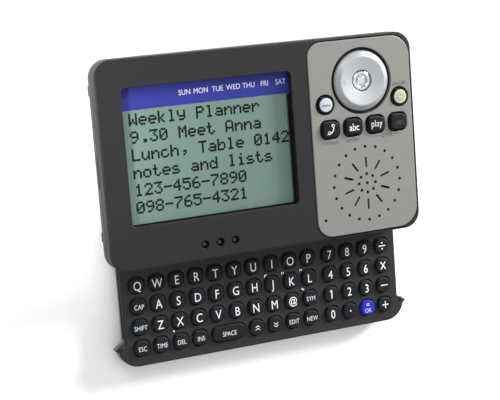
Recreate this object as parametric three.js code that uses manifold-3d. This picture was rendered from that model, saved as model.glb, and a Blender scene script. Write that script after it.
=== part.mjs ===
// Pocket organiser with a slide-out keyboard: a screen and control panel on the main body,
// a keyboard tray that slides out of the body's lower edge, and everything inside them.
// Millimetres. +X is to the right of the screen, +Y is towards the top edge, +Z comes out of the
// screen. The organiser lies on its back with the tray open, on two rubber strips at z = 0, and
// x = y = 0 is the middle of the open organiser.

import * as THREE from 'three';
import Module from 'manifold-3d';
import { mergeVertices } from 'three/addons/utils/BufferGeometryUtils.js';

const wasm = await Module();
wasm.setup();

// ---------------------------------------------------------------- driving dimensions

const GAP = 0.3;                 // clearance between neighbouring pieces
const BODY_W = 125;              // main body, left to right
const BODY_H = 75.4;             // main body, bottom to top
const BODY_R = 6.4;              // plan radius of its corners
const FACE_Z = 18.8;             // front face of the main body
const PARTING_Z = 14.4;          // seam between the front and rear shells
const BACK_Z = 0.8;              // rear face, held off the table by the rubber strips
const TRAY_TRAVEL = 38.2;        // how far the keyboard slides
const TRAY_W = 113.2;            // keyboard tray, left to right
const TRAY_OVERLAP = 17.8;       // length of tray still inside the body when it is open
const TRAY_Z = 2.8;              // underside of the tray
const TRAY_FACE_Z = 7.6;         // face that the keys stand in
const PITCH_X = 7.67;            // key spacing along a row
const PITCH_Y = 7.88;            // row spacing
const KEY_TRAVEL = 0.5;          // press of a key or button

// ---------------------------------------------------------------- derived dimensions

const TOTAL_H = BODY_H + TRAY_TRAVEL;
const BODY_TOP = TOTAL_H / 2;
const BODY_BOTTOM = BODY_TOP - BODY_H;
const BODY_MID = (BODY_TOP + BODY_BOTTOM) / 2;
const TRAY_BOTTOM = -TOTAL_H / 2;
const TRAY_TOP = BODY_BOTTOM + TRAY_OVERLAP;
const TRAY_MID = (TRAY_TOP + TRAY_BOTTOM) / 2 + 0.1;
const FACE_T = 2.0;                              // thickness of the front face
const CEILING_Z = FACE_Z - FACE_T;               // inside of the front face
const FLOOR_Z = BACK_Z + 1.6;                    // inside of the rear face
const DECK_Z = 9.2;                              // underside of the deck over the tray
const DECK_T = 0.8;
const CHANNEL_HALF_W = TRAY_W / 2 + GAP;         // channel that the tray slides in
const CHANNEL_TOP = TRAY_TOP + TRAY_TRAVEL + GAP;

// ---------------------------------------------------------------- details of the casing

const SIDES = [-1, 1];                           // left and right
const FRONT_WALL = 1.8;
const REAR_WALL = 2.2;
const LEAST_R = 3;                               // smallest corner of an outline drawn inwards
const FRONT_EDGE = 0.5;                          // rounding of the front face's edge
const TAPER = { top: 11.1, slope: 0.45, edge: 0.8, edgeInset: 0.7 };   // rear shell's lower part
const PRY_SLOT = { y: 17.4, length: 11.4, bottom: 13.1, top: 14.0, depth: 0.6 };
const PIP = { x: 60.6, z: 8.2, radius: 1.3, length: 4.4, y: [45.8, -6.8] };
const GUIDE = { reach: 1.15, root: 0.5, bottom: -7.2, top: -3.4, low: 4.8, high: 5.8 };
const FEET_Y = [-9.4, 33.6];
const FOOT = { w: 84, h: 5, depth: 0.5 };
const SCREW = { x: 53.5, y: 45.0, low: 1.2, head: 1.9, headTop: 2.3, shank: 0.9, tip: 8.8 };
const SCREW_BOSS = { radius: 2.6, bottom: 4.2, seat: 3.2, seatTop: 3.9, sink: 2.6 };
const SIDE_POCKET = { x: 53.1, y: 45.0, w: 6.6, h: 11.4, radius: 1.5 };   // round the bosses
const BAY = { halfW: 47.2, bottom: 38.8, top: 50.6 };
const DECK_OPENING = { halfW: 47.4, bottom: 38.2, top: 51.0 };
const DOOR = { halfW: 47.0, bottom: 38.4, tongue: 1.2, tongueLength: 12.4, grooveZ: 1.2 };

// Screen opening
const SCREEN = { left: -53.2, right: 11.9, bottom: -3.1, top: 46.2, radius: 1.6 };
const SCREEN_BORDER = 1.5;                       // how far lens and panel reach under the frame
const LENS = { bottom: CEILING_Z - 1.0, top: CEILING_Z - GAP };
const PANEL = { bottom: 13.1, top: LENS.bottom - GAP };
const PANEL_TAB = { left: -40, right: 0, bottom: -6.4, t: 1.1 };
const STRIP_BOTTOM_Y = 38.4;                     // weekday strip, above the display panel
const STRIP_Z = 14.3;

// Silver control fascia
const FASCIA = { left: 18.9, right: 61.4, bottom: -17.5, top: 55.6 };
const FASCIA_RADII = { innerTop: 5.5, outerTop: 7.8, outerBottom: 7.8, innerBottom: 6.2 };
const FASCIA_PROUD = 0.3;
const FASCIA_T = 1.4;
const FASCIA_EDGE = 0.25;
const FASCIA_Z = FACE_Z + FASCIA_PROUD - FASCIA_T;
const RECESS_Z = FASCIA_Z - GAP;                 // floor of the recess that holds the fascia

// Controls, all centred on one vertical line
const CONTROL_X = 40.65;
const NAV = { y: 39.85, well: 12.5, dial: 11.25, flat: 9.2, top: FACE_Z + 1.5 };
const NAV_BUTTON = { radius: 3.75, top: FACE_Z + 0.8 };
const DISH = { top: FACE_Z + 0.6, r: 5.2 };       // dial's low ring round the button
const DIAL = { rimZ: FASCIA_Z + GAP + 0.1, rimT: 0.7, hub: 5.5, counterbore: 5.0, seatZ: 16.2,
  hubZ: 15.2 };
const NAV_FLANGE = { radius: 4.7, bottom: 15.5, top: 15.9 };
const GIMBAL = { inner: 5.9, outer: 8.0, bottom: 15.1, top: 16.6, axisZ: 15.9, pin: 0.45,
  pinLength: 2.5 };
const GIMBAL_SEAT = { halfW: 1.6, near: GIMBAL.outer + 0.5, far: GIMBAL.outer + 2.6, top: 16.3 };
const ROUND_BUTTON = { dx: 15.65, y: 32.35, well: 3.9, cap: 2.95, lip: 0.75, top: FACE_Z + 1.3 };
const FUNCTION_KEY = { pitch: 9.5, y: 22.95, w: 8.0, h: 7.1, radius: 2.5, top: FACE_Z + 1.5 };
const FUNCTION_EDGE = 0.6;
const BOARD_TOP_Z = 14.7;                        // board under the controls
const CONTROL_BOARD = { x: 38.1, y: 35.7, w: 43.4, h: 36.4, radius: 5, t: 0.8 };
const DOME = { radius: 2.5, t: 0.2 };            // snap dome under a function key
const FLANGE = { bottom: BOARD_TOP_Z + 1.0, top: CEILING_Z - GAP };

// Speaker and its pattern of holes: two rings of dots with a ring of slots between them
const SPEAKER = { x: 40.5, y: 1.1, radius: 14.6 };
const DOTS = { radius: 0.6, outer: { count: 20, radius: 14.0 }, inner: { count: 8, radius: 3.5 } };
const SLOTS = { count: 10, radius: 8.0, length: 4.1, width: 0.8 };
const MIC = { x: 22.2, y: -11.0, hole: 0.65, radius: 2.0, bottom: 14.2 };
const LIGHTS = { x: -20.6, y: -12.9, pitch: 5.9, well: 1.5, post: 1.1 };
const LIGHT_BAR = { halfW: 1.6, end: 2.2, bottom: 14.6, top: 15.8 };

// Main board and its chips
const MAIN_BOARD = { x: 0, y: 11.3, w: 115, h: 51.6, radius: 3, bottom: 10.8, top: 11.6 };
const CHIPS = [
  { x: -35, y: 10, w: 14, h: 14, t: 1.1 }, { x: -12, y: 22, w: 11, h: 7, t: 0.9 },
  { x: 6, y: 0, w: 8, h: 12, t: 1.0 }, { x: -42, y: -8, w: 8, h: 3, t: 1.2 },
  { x: 30, y: 24, w: 12, h: 8, t: 1.2 }, { x: 52, y: 30, w: 6, h: 5, t: 1.6 },
];

// Two AAA cells end to end, and the contacts at their ends
const CELL = { radius: 5.2, length: 43.4, nub: 1.0, nubRadius: 1.9, y: 44.5, z: 8.2 };
const CELL_X = { left: -44.6, right: 0.1 };
const CONTACT = { t: 0.4, halfW: 4, halfH: 3.6 };
const SPRING_END = { side: -1, x: -46.7, radius: 2.4, length: 1.3 };
const DIMPLE_END = { side: 1, x: 46.2, radius: 1.6, length: 1.4 };

// Flat cable, and the openings it passes through
const RIBBON = { x: -15, w: 12, t: 0.25, trayZ: 5.35, bodyZ: 10.35, start: -6, bendStart: 6,
  bendEnd: 23, end: 30, halfOpening: 7, slotBottom: 12.5, slotTop: 25 };

// Key grid: ten letter columns and four number columns, four rows
const ROWS = 4;
const COLUMNS = 14;
const LETTER_COLUMNS = 10;
const FIRST_COLUMN_X = -50.5;
const FIRST_ROW_Y = -26.3;
const KEY_HOLE = { w: 6.5, h: 6.4, radius: 2.4 };
const KEY_CAP = { w: 5.9, h: 5.8, radius: 2.1 };
const KEY_FLANGE = { w: 7.3, h: 7.5, radius: 1.6 };
const KEY_EDGE = 0.45;
const KEY_TOP_Z = TRAY_FACE_Z + 1.2;
const SPACE = { column: 4, row: 3 };
const COVER_T = 1.4;
const COVER_Z = TRAY_FACE_Z - COVER_T;
const KEY_BOARD = { w: 107.4, h: 51.8, radius: 3.6, bottom: 4.1, top: 4.9 };
const KEY_BASE_Z = KEY_BOARD.top + KEY_TRAVEL + 0.1;
const KEY_FLANGE_T = 0.4;
const TRAY_WELL = { w: 108.9, h: 52.6, radius: 4, floor: 1 };
const GROOVE = { x: 55.4, bottom: 4.4 };         // runs along each side of the tray

// Tray's pointed grips, and the rounded corners below them
const EAR = { top: -47.5, bulge: 2.0, bulgeDrop: 0.85, tip: -49.7, reach: 60.6 };
const CORNER = { waist: 59.0, top: -50.9, drop: 2.4, steep: 0.4, flat: 3.2, end: 7.5 };

// ---------------------------------------------------------------- solids

// A closed geometry becomes a solid that can be joined and cut.
function solid(geometry) {
  const bare = geometry.clone();
  bare.deleteAttribute('normal');
  bare.deleteAttribute('uv');
  const merged = mergeVertices(bare, 1e-4);
  return new wasm.Manifold(new wasm.Mesh({
    numProp: 3,
    vertProperties: new Float32Array(merged.attributes.position.array),
    triVerts: new Uint32Array(merged.index.array),
  }));
}

function join(first, ...rest) {
  return rest.reduce((sum, piece) => sum.add(piece), first);
}

function cut(first, ...tools) {
  return tools.length ? first.subtract(join(...tools)) : first;
}

function geometryOf(piece) {
  const { vertProperties, triVerts } = piece.getMesh();
  const geometry = new THREE.BufferGeometry();
  geometry.setAttribute('position', new THREE.BufferAttribute(new Float32Array(vertProperties), 3));
  geometry.setIndex(new THREE.BufferAttribute(new Uint32Array(triVerts), 1));
  geometry.computeVertexNormals();
  return geometry;
}

// Outline of a rectangle with one radius for each corner: right top, left top, left bottom,
// right bottom.
function corneredShape(left, bottom, right, top, radii) {
  const [rightTop, leftTop, leftBottom, rightBottom] = radii;
  const shape = new THREE.Shape();
  shape.moveTo(right, top - rightTop);
  shape.absarc(right - rightTop, top - rightTop, rightTop, 0, Math.PI / 2);
  shape.absarc(left + leftTop, top - leftTop, leftTop, Math.PI / 2, Math.PI);
  shape.absarc(left + leftBottom, bottom + leftBottom, leftBottom, Math.PI, Math.PI * 1.5);
  shape.absarc(right - rightBottom, bottom + rightBottom, rightBottom, Math.PI * 1.5, Math.PI * 2);
  return shape;
}

function roundedShape(x, y, w, h, r) {
  return corneredShape(x - w / 2, y - h / 2, x + w / 2, y + h / 2, [r, r, r, r]);
}

function plate(shape, z0, z1, curveSegments = 5) {
  const geometry = new THREE.ExtrudeGeometry(shape, {
    depth: z1 - z0, bevelEnabled: false, curveSegments,
  });
  return solid(geometry.translate(0, 0, z0));
}

// Skin through a stack of outlines, lowest first, each { z, shape } with as many points as the rest.
function loft(sections, curveSegments = 5) {
  const rings = sections.map(({ z, shape }) => {
    const points = shape.getPoints(curveSegments);
    if (points[0].distanceTo(points.at(-1)) < 1e-6) points.pop();
    return { z, points };
  });
  const count = rings[0].points.length;
  const positions = rings.flatMap(({ z, points }) => points.flatMap((p) => [p.x, p.y, z]));
  const index = [];
  for (let ring = 0; ring < rings.length - 1; ring += 1) {
    for (let i = 0; i < count; i += 1) {
      const a = ring * count + i;
      const b = ring * count + ((i + 1) % count);
      index.push(a, b, b + count, a, b + count, a + count);
    }
  }
  const last = (rings.length - 1) * count;
  for (const [a, b, c] of THREE.ShapeUtils.triangulateShape(rings[0].points, [])) {
    index.push(a, c, b);
  }
  for (const [a, b, c] of THREE.ShapeUtils.triangulateShape(rings.at(-1).points, [])) {
    index.push(last + a, last + b, last + c);
  }
  const geometry = new THREE.BufferGeometry();
  geometry.setAttribute('position', new THREE.Float32BufferAttribute(positions, 3));
  geometry.setIndex(index);
  return solid(geometry);
}

// Plate whose upper edge is broken by a chamfer; shapeAt(inset) gives its outline.
function chamferedPlate(shapeAt, z0, z1, chamfer, curveSegments = 5) {
  return loft([
    { z: z0, shape: shapeAt(0) },
    { z: z1 - chamfer, shape: shapeAt(0) },
    { z: z1, shape: shapeAt(chamfer) },
  ], curveSegments);
}

function box(x0, x1, y0, y1, z0, z1) {
  const geometry = new THREE.BoxGeometry(x1 - x0, y1 - y0, z1 - z0);
  return solid(geometry.translate((x0 + x1) / 2, (y0 + y1) / 2, (z0 + z1) / 2));
}

function post(x, y, r, z0, z1, segments = 16) {
  const geometry = new THREE.CylinderGeometry(r, r, z1 - z0, segments);
  return solid(geometry.rotateX(Math.PI / 2).translate(x, y, (z0 + z1) / 2));
}

// Solid of revolution about a vertical axis; the profile is a list of [radius, z].
function turned(x, y, profile, segments = 20) {
  const points = profile.map(([r, z]) => new THREE.Vector2(r, z));
  const geometry = new THREE.LatheGeometry(points, segments);
  return solid(geometry.rotateX(Math.PI / 2).translate(x, y, 0));
}

// Box with one copy on each side of the middle, from near to far along X.
function sideBox(side, near, far, ...rest) {
  const [a, b] = side < 0 ? [-far, -near] : [near, far];
  return box(a, b, ...rest);
}

// Body of an AAA cell or another round piece lying along X.
function barAlongX(y, z, r, x0, x1, segments = 28) {
  const geometry = new THREE.CylinderGeometry(r, r, x1 - x0, segments);
  return solid(geometry.rotateZ(Math.PI / 2).translate((x0 + x1) / 2, y, z));
}

// Copies spaced evenly round the speaker's centre, the first one above it.
function ringOf({ count, radius }, make) {
  return Array.from({ length: count }, (_, i) => {
    const angle = Math.PI / 2 + (i * 2 * Math.PI) / count;
    return make(SPEAKER.x + radius * Math.cos(angle), SPEAKER.y + radius * Math.sin(angle), angle);
  });
}

// ---------------------------------------------------------------- materials

function material(color, roughness, metalness = 0, more = {}) {
  return new THREE.MeshStandardMaterial({ color, roughness, metalness, ...more });
}

const FINISH = {
  casing: material(0x3b3b3e, 0.62),
  rear: material(0x38383b, 0.68),
  silver: material(0xa3a29c, 0.42, 0.55),
  dial: material(0xbec6cd, 0.25, 0.75),
  chrome: material(0xd9dde2, 0.12, 0.95),
  lens: material(0xdfe8e6, 0.05, 0, { transparent: true, opacity: 0.3 }),
  lcd: material(0x768f86, 0.35),
  strip: material(0x3e42a0, 0.45),
  key: material(0x23282f, 0.5),
  okKey: material(0x1e2dbe, 0.45),
  power: material(0xbcd9b0, 0.4),
  menu: material(0xdfe2e4, 0.35, 0.2),
  rubber: material(0x17181a, 0.85),
  board: material(0x1f5b3a, 0.5),
  steel: material(0xb4b6b8, 0.35, 0.9),
  cell: material(0x2f6f57, 0.4, 0.2),
  clear: material(0xf1f3f2, 0.2, 0, { transparent: true, opacity: 0.6 }),
  ribbon: material(0xb9702c, 0.45),
  speaker: material(0x1b1b1c, 0.7),
};

const organiser = new THREE.Group();

function add(name, piece, finish) {
  const mesh = new THREE.Mesh(geometryOf(piece), finish);
  mesh.name = name;
  organiser.add(mesh);
}

// ---------------------------------------------------------------- outlines shared by pieces

function bodyShape(inset) {
  const r = Math.max(BODY_R - inset, LEAST_R);
  return roundedShape(0, BODY_MID, BODY_W - 2 * inset, BODY_H - 2 * inset, r);
}

function fasciaShape(grow) {
  const { innerTop, outerTop, outerBottom, innerBottom } = FASCIA_RADII;
  const radii = [outerTop, innerTop, innerBottom, outerBottom].map((r) => r + grow);
  return corneredShape(FASCIA.left - grow, FASCIA.bottom - grow, FASCIA.right + grow,
    FASCIA.top + grow, radii);
}

function screenShape(grow, bottom = SCREEN.bottom - grow, top = SCREEN.top + grow) {
  const r = SCREEN.radius;
  return corneredShape(SCREEN.left - grow, bottom, SCREEN.right + grow, top, [r, r, r, r]);
}

// Tray in plan: straight sides, then a pointed grip on each side above a rounded corner.
function trayShape(inset = 0) {
  const side = TRAY_W / 2 - inset;
  const tip = EAR.reach - inset;
  const waist = CORNER.waist - inset;
  const bottom = TRAY_BOTTOM + inset;
  const bulge = [side + EAR.bulge, EAR.top - EAR.bulgeDrop];
  const steep = [waist - CORNER.steep, CORNER.top - CORNER.drop];
  const flat = [waist - CORNER.flat, bottom];
  const end = waist - CORNER.end;
  const shape = new THREE.Shape();
  shape.moveTo(side, TRAY_TOP);
  shape.lineTo(-side, TRAY_TOP);
  shape.lineTo(-side, EAR.top);
  shape.quadraticCurveTo(-bulge[0], bulge[1], -tip, EAR.tip);
  shape.lineTo(-waist, CORNER.top);
  shape.bezierCurveTo(-steep[0], steep[1], -flat[0], flat[1], -end, bottom);
  shape.lineTo(end, bottom);
  shape.bezierCurveTo(...flat, ...steep, waist, CORNER.top);
  shape.lineTo(tip, EAR.tip);
  shape.quadraticCurveTo(...bulge, side, EAR.top);
  return shape;
}

// Outer form of the rear shell: upright below the seam, then drawn in towards a flat back.
function rearForm() {
  const taper = (z) => (TAPER.top - z) * TAPER.slope;
  const edgeZ = BACK_Z + TAPER.edge;
  return loft([
    { z: BACK_Z, shape: bodyShape(taper(BACK_Z) + TAPER.edgeInset) },
    { z: edgeZ, shape: bodyShape(taper(edgeZ)) },
    { z: TAPER.top, shape: bodyShape(0) },
    { z: PARTING_Z - GAP / 2, shape: bodyShape(0) },
  ], 4);
}

function keyX(column) {
  if (column < LETTER_COLUMNS) return FIRST_COLUMN_X + column * PITCH_X;
  return -FIRST_COLUMN_X - (COLUMNS - 1 - column) * PITCH_X;
}

function keyY(row) {
  return FIRST_ROW_Y - row * PITCH_Y;
}

// ---------------------------------------------------------------- casings

const FUNCTION_PLACES = [0, 1, 2, 3];
const functionKeyX = (i) => CONTROL_X + (i - 1.5) * FUNCTION_KEY.pitch;
const roundButtonX = (side) => CONTROL_X + side * ROUND_BUTTON.dx;
const LIGHT_PLACES = [-1, 0, 1];
const lightX = (i) => LIGHTS.x + i * LIGHTS.pitch;

function functionKeyShape(i, grow) {
  const { y, w, h, radius } = FUNCTION_KEY;
  return roundedShape(functionKeyX(i), y, w + 2 * grow, h + 2 * grow, radius + grow);
}

function frontShell() {
  const shoulder = FRONT_EDGE * 0.3;
  const outer = loft([
    { z: PARTING_Z + GAP / 2, shape: bodyShape(0) },
    { z: FACE_Z - FRONT_EDGE, shape: bodyShape(0) },
    { z: FACE_Z - shoulder, shape: bodyShape(shoulder) },
    { z: FACE_Z, shape: bodyShape(FRONT_EDGE) },
  ], 4);
  const hollow = plate(bodyShape(FRONT_WALL), PARTING_Z - 1, CEILING_Z, 4);
  const recess = plate(fasciaShape(GAP), RECESS_Z, FACE_Z + 1);
  const screen = plate(screenShape(0), CEILING_Z - 1, FACE_Z + 1, 4);
  const below = CEILING_Z - 1;
  const wells = [
    post(CONTROL_X, NAV.y, NAV.flat, below, FACE_Z, 28),
    post(SPEAKER.x, SPEAKER.y, SPEAKER.radius + 2 * GAP, below, FACE_Z, 28),
    post(MIC.x, MIC.y, MIC.radius, below, FACE_Z, 12),
    ...SIDES.map((side) => post(roundButtonX(side), ROUND_BUTTON.y, ROUND_BUTTON.cap + GAP,
      below, FACE_Z, 20)),
    ...FUNCTION_PLACES.map((i) => plate(functionKeyShape(i, 0), below, FACE_Z, 3)),
    ...LIGHT_PLACES.map((i) => post(lightX(i), LIGHTS.y, LIGHTS.well, below, FACE_Z + 1, 16)),
  ];
  return cut(outer, hollow, recess, screen, ...wells);
}

function controlFascia() {
  const top = FACE_Z + FASCIA_PROUD;
  const blank = chamferedPlate((inset) => fasciaShape(-inset), FASCIA_Z, top, FASCIA_EDGE, 5);
  const through = [FASCIA_Z - 1, top + 1];
  const dot = (x, y) => post(x, y, DOTS.radius, ...through, 6);
  const slot = (x, y, angle) => {
    const bar = new THREE.BoxGeometry(SLOTS.length, SLOTS.width, FASCIA_T * 3).rotateZ(angle);
    return solid(bar.translate(x, y, FASCIA_Z));
  };
  return cut(
    blank,
    post(CONTROL_X, NAV.y, NAV.well, ...through, 36),
    ...SIDES.map((side) => post(roundButtonX(side), ROUND_BUTTON.y, ROUND_BUTTON.well,
      ...through, 24)),
    ...FUNCTION_PLACES.map((i) => plate(functionKeyShape(i, GAP / 2), ...through, 3)),
    ...ringOf(DOTS.outer, dot),
    ...ringOf(SLOTS, slot),
    ...ringOf(DOTS.inner, dot),
    dot(SPEAKER.x, SPEAKER.y),
    post(MIC.x, MIC.y, MIC.hole, ...through, 6),
  );
}

function rearShell() {
  const innerTop = PARTING_Z + 1;
  const hollow = plate(bodyShape(REAR_WALL), DECK_Z - GAP, innerTop, 4);
  const channel = box(-CHANNEL_HALF_W, CHANNEL_HALF_W, BODY_BOTTOM - 1, CHANNEL_TOP, FLOOR_Z,
    DECK_Z);
  const closedTray = plate(trayShape(-GAP), FLOOR_Z, DECK_Z, 4).translate([0, TRAY_TRAVEL, 0]);
  const gripPath = box(-EAR.reach - GAP, EAR.reach + GAP, BODY_BOTTOM - 1, EAR.tip + TRAY_TRAVEL,
    FLOOR_Z, DECK_Z);
  const bay = box(-BAY.halfW, BAY.halfW, BAY.bottom, BAY.top, FLOOR_Z - 1, innerTop);
  const doorway = box(-DOOR.halfW - GAP, DOOR.halfW + GAP, DOOR.bottom - GAP, BODY_TOP + 1, 0,
    FLOOR_Z);
  const grooveW = DOOR.halfW + DOOR.tongue + GAP;
  const doorGrooves = box(-grooveW, grooveW, DOOR.bottom - GAP, BODY_TOP + 1, DOOR.grooveZ,
    FLOOR_Z);
  const footRecesses = FEET_Y.map((y) => plate(footShape(y, GAP), 0, BACK_Z + FOOT.depth));
  const sidePockets = SIDES.map((side) => {
    const { x, y, w, h, radius } = SIDE_POCKET;
    return plate(roundedShape(side * x, y, w, h, radius), FLOOR_Z, innerTop, 2);
  });
  const prySlots = SIDES.map((side) => sideBox(side, BODY_W / 2 - PRY_SLOT.depth, BODY_W / 2 + 1,
    PRY_SLOT.y - PRY_SLOT.length / 2, PRY_SLOT.y + PRY_SLOT.length / 2, PRY_SLOT.bottom,
    PRY_SLOT.top));
  const pips = SIDES.flatMap((side) => PIP.y.map((y) => {
    const pip = new THREE.CylinderGeometry(PIP.radius, PIP.radius, PIP.length, 12);
    return solid(pip.translate(side * PIP.x, y, PIP.z));
  }));
  const seats = SIDES.map((side) => post(side * SCREW.x, SCREW.y, SCREW_BOSS.seat, FLOOR_Z - 0.5,
    SCREW_BOSS.seatTop));
  const guides = SIDES.map((side) => sideBox(side, CHANNEL_HALF_W - GUIDE.reach,
    CHANNEL_HALF_W + GUIDE.root, GUIDE.bottom, GUIDE.top, GUIDE.low, GUIDE.high));
  const screwHoles = SIDES.flatMap((side) => [
    post(side * SCREW.x, SCREW.y, SCREW.head + 0.35, 0, SCREW_BOSS.sink),
    post(side * SCREW.x, SCREW.y, SCREW.shank + GAP, 0, SCREW_BOSS.seatTop + 1, 12),
  ]);
  const shell = cut(join(rearForm(), ...pips), hollow, channel, closedTray, gripPath, bay,
    doorway, doorGrooves, ...sidePockets, ...prySlots, ...footRecesses);
  return cut(join(shell, ...seats, ...guides), ...screwHoles);
}

function footShape(y, grow) {
  const h = FOOT.h + 2 * grow;
  return roundedShape(0, y, FOOT.w + 2 * grow, h, h / 2 - 0.05);
}

function batteryDoor() {
  const top = FLOOR_Z - GAP;
  const { halfW, bottom, tongue, tongueLength, grooveZ } = DOOR;
  const panel = rearForm().intersect(box(-halfW, halfW, bottom, BODY_TOP, 0, top));
  const tongues = box(-halfW - tongue, halfW + tongue, bottom, bottom + tongueLength,
    grooveZ + GAP, top);
  return join(panel, tongues);
}

// Deck between the tray and the electronics, with a screw boss at each end of the battery bay.
function midFrame() {
  const above = DECK_Z + 2;
  const deck = plate(bodyShape(REAR_WALL + GAP), DECK_Z, DECK_Z + DECK_T);
  const bosses = SIDES.map((side) => post(side * SCREW.x, SCREW.y, SCREW_BOSS.radius,
    SCREW_BOSS.bottom, DECK_Z + 0.1, 16));
  const holes = SIDES.map((side) => post(side * SCREW.x, SCREW.y, SCREW.shank + GAP,
    SCREW_BOSS.bottom - 1, above, 12));
  const { halfW, bottom, top } = DECK_OPENING;
  const bayOpening = box(-halfW, halfW, bottom, top, DECK_Z - 1, above);
  const ribbonSlot = box(RIBBON.x - RIBBON.halfOpening, RIBBON.x + RIBBON.halfOpening,
    RIBBON.slotBottom, RIBBON.slotTop, DECK_Z - 1, above);
  return cut(join(deck, ...bosses), bayOpening, ribbonSlot, ...holes);
}

// ---------------------------------------------------------------- tray

function trayBase() {
  const top = COVER_Z - GAP;
  const over = top + 1;
  const blank = plate(trayShape(), TRAY_Z, top, 4);
  const well = plate(roundedShape(0, TRAY_MID, TRAY_WELL.w, TRAY_WELL.h, TRAY_WELL.radius),
    TRAY_Z + TRAY_WELL.floor, over);
  const grooves = SIDES.map((side) => sideBox(side, GROOVE.x, EAR.reach, EAR.top + 0.9,
    TRAY_TOP - 2, GROOVE.bottom, over));
  const ribbonNotch = box(RIBBON.x - RIBBON.halfOpening, RIBBON.x + RIBBON.halfOpening,
    TRAY_TOP - 3, TRAY_TOP + 1, RIBBON.trayZ - 0.35, over);
  return cut(blank, well, ...grooves, ribbonNotch);
}

function keyOutline(column, row, size, span = 1) {
  const x = keyX(column) + ((span - 1) * PITCH_X) / 2;
  return roundedShape(x, keyY(row), size.w + (span - 1) * PITCH_X, size.h, size.radius);
}

const isSpaceTail = (column, row) => row === SPACE.row && column === SPACE.column + 1;
const keySpan = (column, row) => (row === SPACE.row && column === SPACE.column ? 2 : 1);

function trayCover() {
  const holes = [];
  for (let row = 0; row < ROWS; row += 1) {
    for (let column = 0; column < COLUMNS; column += 1) {
      if (isSpaceTail(column, row)) continue;
      const hole = keyOutline(column, row, KEY_HOLE, keySpan(column, row));
      holes.push(plate(hole, COVER_Z - 1, TRAY_FACE_Z + 1, 1));
    }
  }
  return cut(plate(trayShape(), COVER_Z, TRAY_FACE_Z, 4), ...holes);
}

function keyCap(column, row, span = 1) {
  const capShape = (inset) => keyOutline(column, row, {
    w: KEY_CAP.w - 2 * inset, h: KEY_CAP.h - 2 * inset, radius: KEY_CAP.radius - inset,
  }, span);
  return chamferedPlate(capShape, KEY_BASE_Z, KEY_TOP_Z, KEY_EDGE, 1);
}

function singleKey(column, row) {
  const span = keySpan(column, row);
  const flange = keyOutline(column, row, KEY_FLANGE, span);
  return join(keyCap(column, row, span), plate(flange, KEY_BASE_Z, KEY_BASE_Z + KEY_FLANGE_T, 1));
}

// One silicone sheet carries the letter keys of the three upper rows.
function letterKeymat() {
  const rows = [0, 1, 2];
  const columns = Array.from({ length: LETTER_COLUMNS }, (_, column) => column);
  const left = keyX(0) - KEY_FLANGE.w / 2;
  const right = keyX(LETTER_COLUMNS - 1) + KEY_FLANGE.w / 2;
  const bottom = keyY(2) - KEY_FLANGE.h / 2;
  const top = keyY(0) + KEY_FLANGE.h / 2;
  const sheet = box(left, right, bottom, top, KEY_BASE_Z, KEY_BASE_Z + KEY_FLANGE_T);
  return join(sheet, ...rows.flatMap((row) => columns.map((column) => keyCap(column, row))));
}

// ---------------------------------------------------------------- controls

// Silver dial: a dished top, a bevel, a rim over the fascia's well and a hub that holds two pins.
function navDial() {
  const { dial, flat, top } = NAV;
  const { rimZ, rimT, hub, counterbore, seatZ, hubZ } = DIAL;
  const bore = NAV_BUTTON.radius + GAP;
  const dished = turned(CONTROL_X, NAV.y, [
    [bore, seatZ], [counterbore, seatZ], [counterbore, hubZ], [hub, hubZ], [hub, rimZ],
    [dial, rimZ], [dial, rimZ + rimT], [dial - 0.5, rimZ + rimT + 0.5], [flat, top],
    [DISH.r, DISH.top], [bore, DISH.top], [bore, seatZ],
  ], 28);
  const pins = SIDES.map((side) => {
    const [near, far] = [hub - 0.2, GIMBAL.outer - GAP].map((r) => CONTROL_X + side * r);
    return barAlongX(NAV.y, GIMBAL.axisZ, GIMBAL.pin, Math.min(near, far), Math.max(near, far), 12);
  });
  return join(dished, ...pins);
}

// Button in the dial's bore, held from below by its flange, with a shallow cup on top.
function navButton() {
  const { radius: r, top } = NAV_BUTTON;
  const { radius: flange, bottom, top: flangeTop } = NAV_FLANGE;
  return turned(CONTROL_X, NAV.y, [
    [0, bottom], [flange, bottom], [flange, flangeTop], [r, flangeTop], [r, top - 0.3],
    [r - 0.6, top], [r - 1.6, top - 0.1], [r - 1.9, top - 0.3], [0, top - 0.3],
  ]);
}

// Ring between dial and board: notches for the dial's pins, and its own pins at right angles.
function navPivot() {
  const { inner, outer, bottom, top, axisZ, pin, pinLength } = GIMBAL;
  const band = turned(CONTROL_X, NAV.y, [
    [inner, bottom], [outer, bottom], [outer, top], [inner, top], [inner, bottom],
  ]);
  const notch = box(CONTROL_X - outer - 1, CONTROL_X + outer + 1, NAV.y - pin - GAP,
    NAV.y + pin + GAP, axisZ - pin - 0.1, top + 1);
  const pins = SIDES.map((side) => {
    const geometry = new THREE.CylinderGeometry(pin, pin, pinLength, 12);
    const y = NAV.y + side * (outer - 0.1 + pinLength / 2);
    return solid(geometry.translate(CONTROL_X, y, axisZ));
  });
  return join(cut(band, notch), ...pins);
}

function roundButton(side) {
  const { cap, lip, top, y } = ROUND_BUTTON;
  return turned(roundButtonX(side), y, [
    [0, FLANGE.bottom], [cap + lip, FLANGE.bottom], [cap + lip, FLANGE.top], [cap, FLANGE.top],
    [cap, top - 0.5], [cap - 0.4, top - 0.1], [0, top],
  ], 24);
}

function functionKey(i) {
  const capShape = (inset) => functionKeyShape(i, -GAP - inset);
  const cap = chamferedPlate(capShape, FLANGE.bottom, FUNCTION_KEY.top, FUNCTION_EDGE, 3);
  return join(cap, plate(functionKeyShape(i, 0.4), FLANGE.bottom, FLANGE.top, 2));
}

// ---------------------------------------------------------------- inside the body

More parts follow.
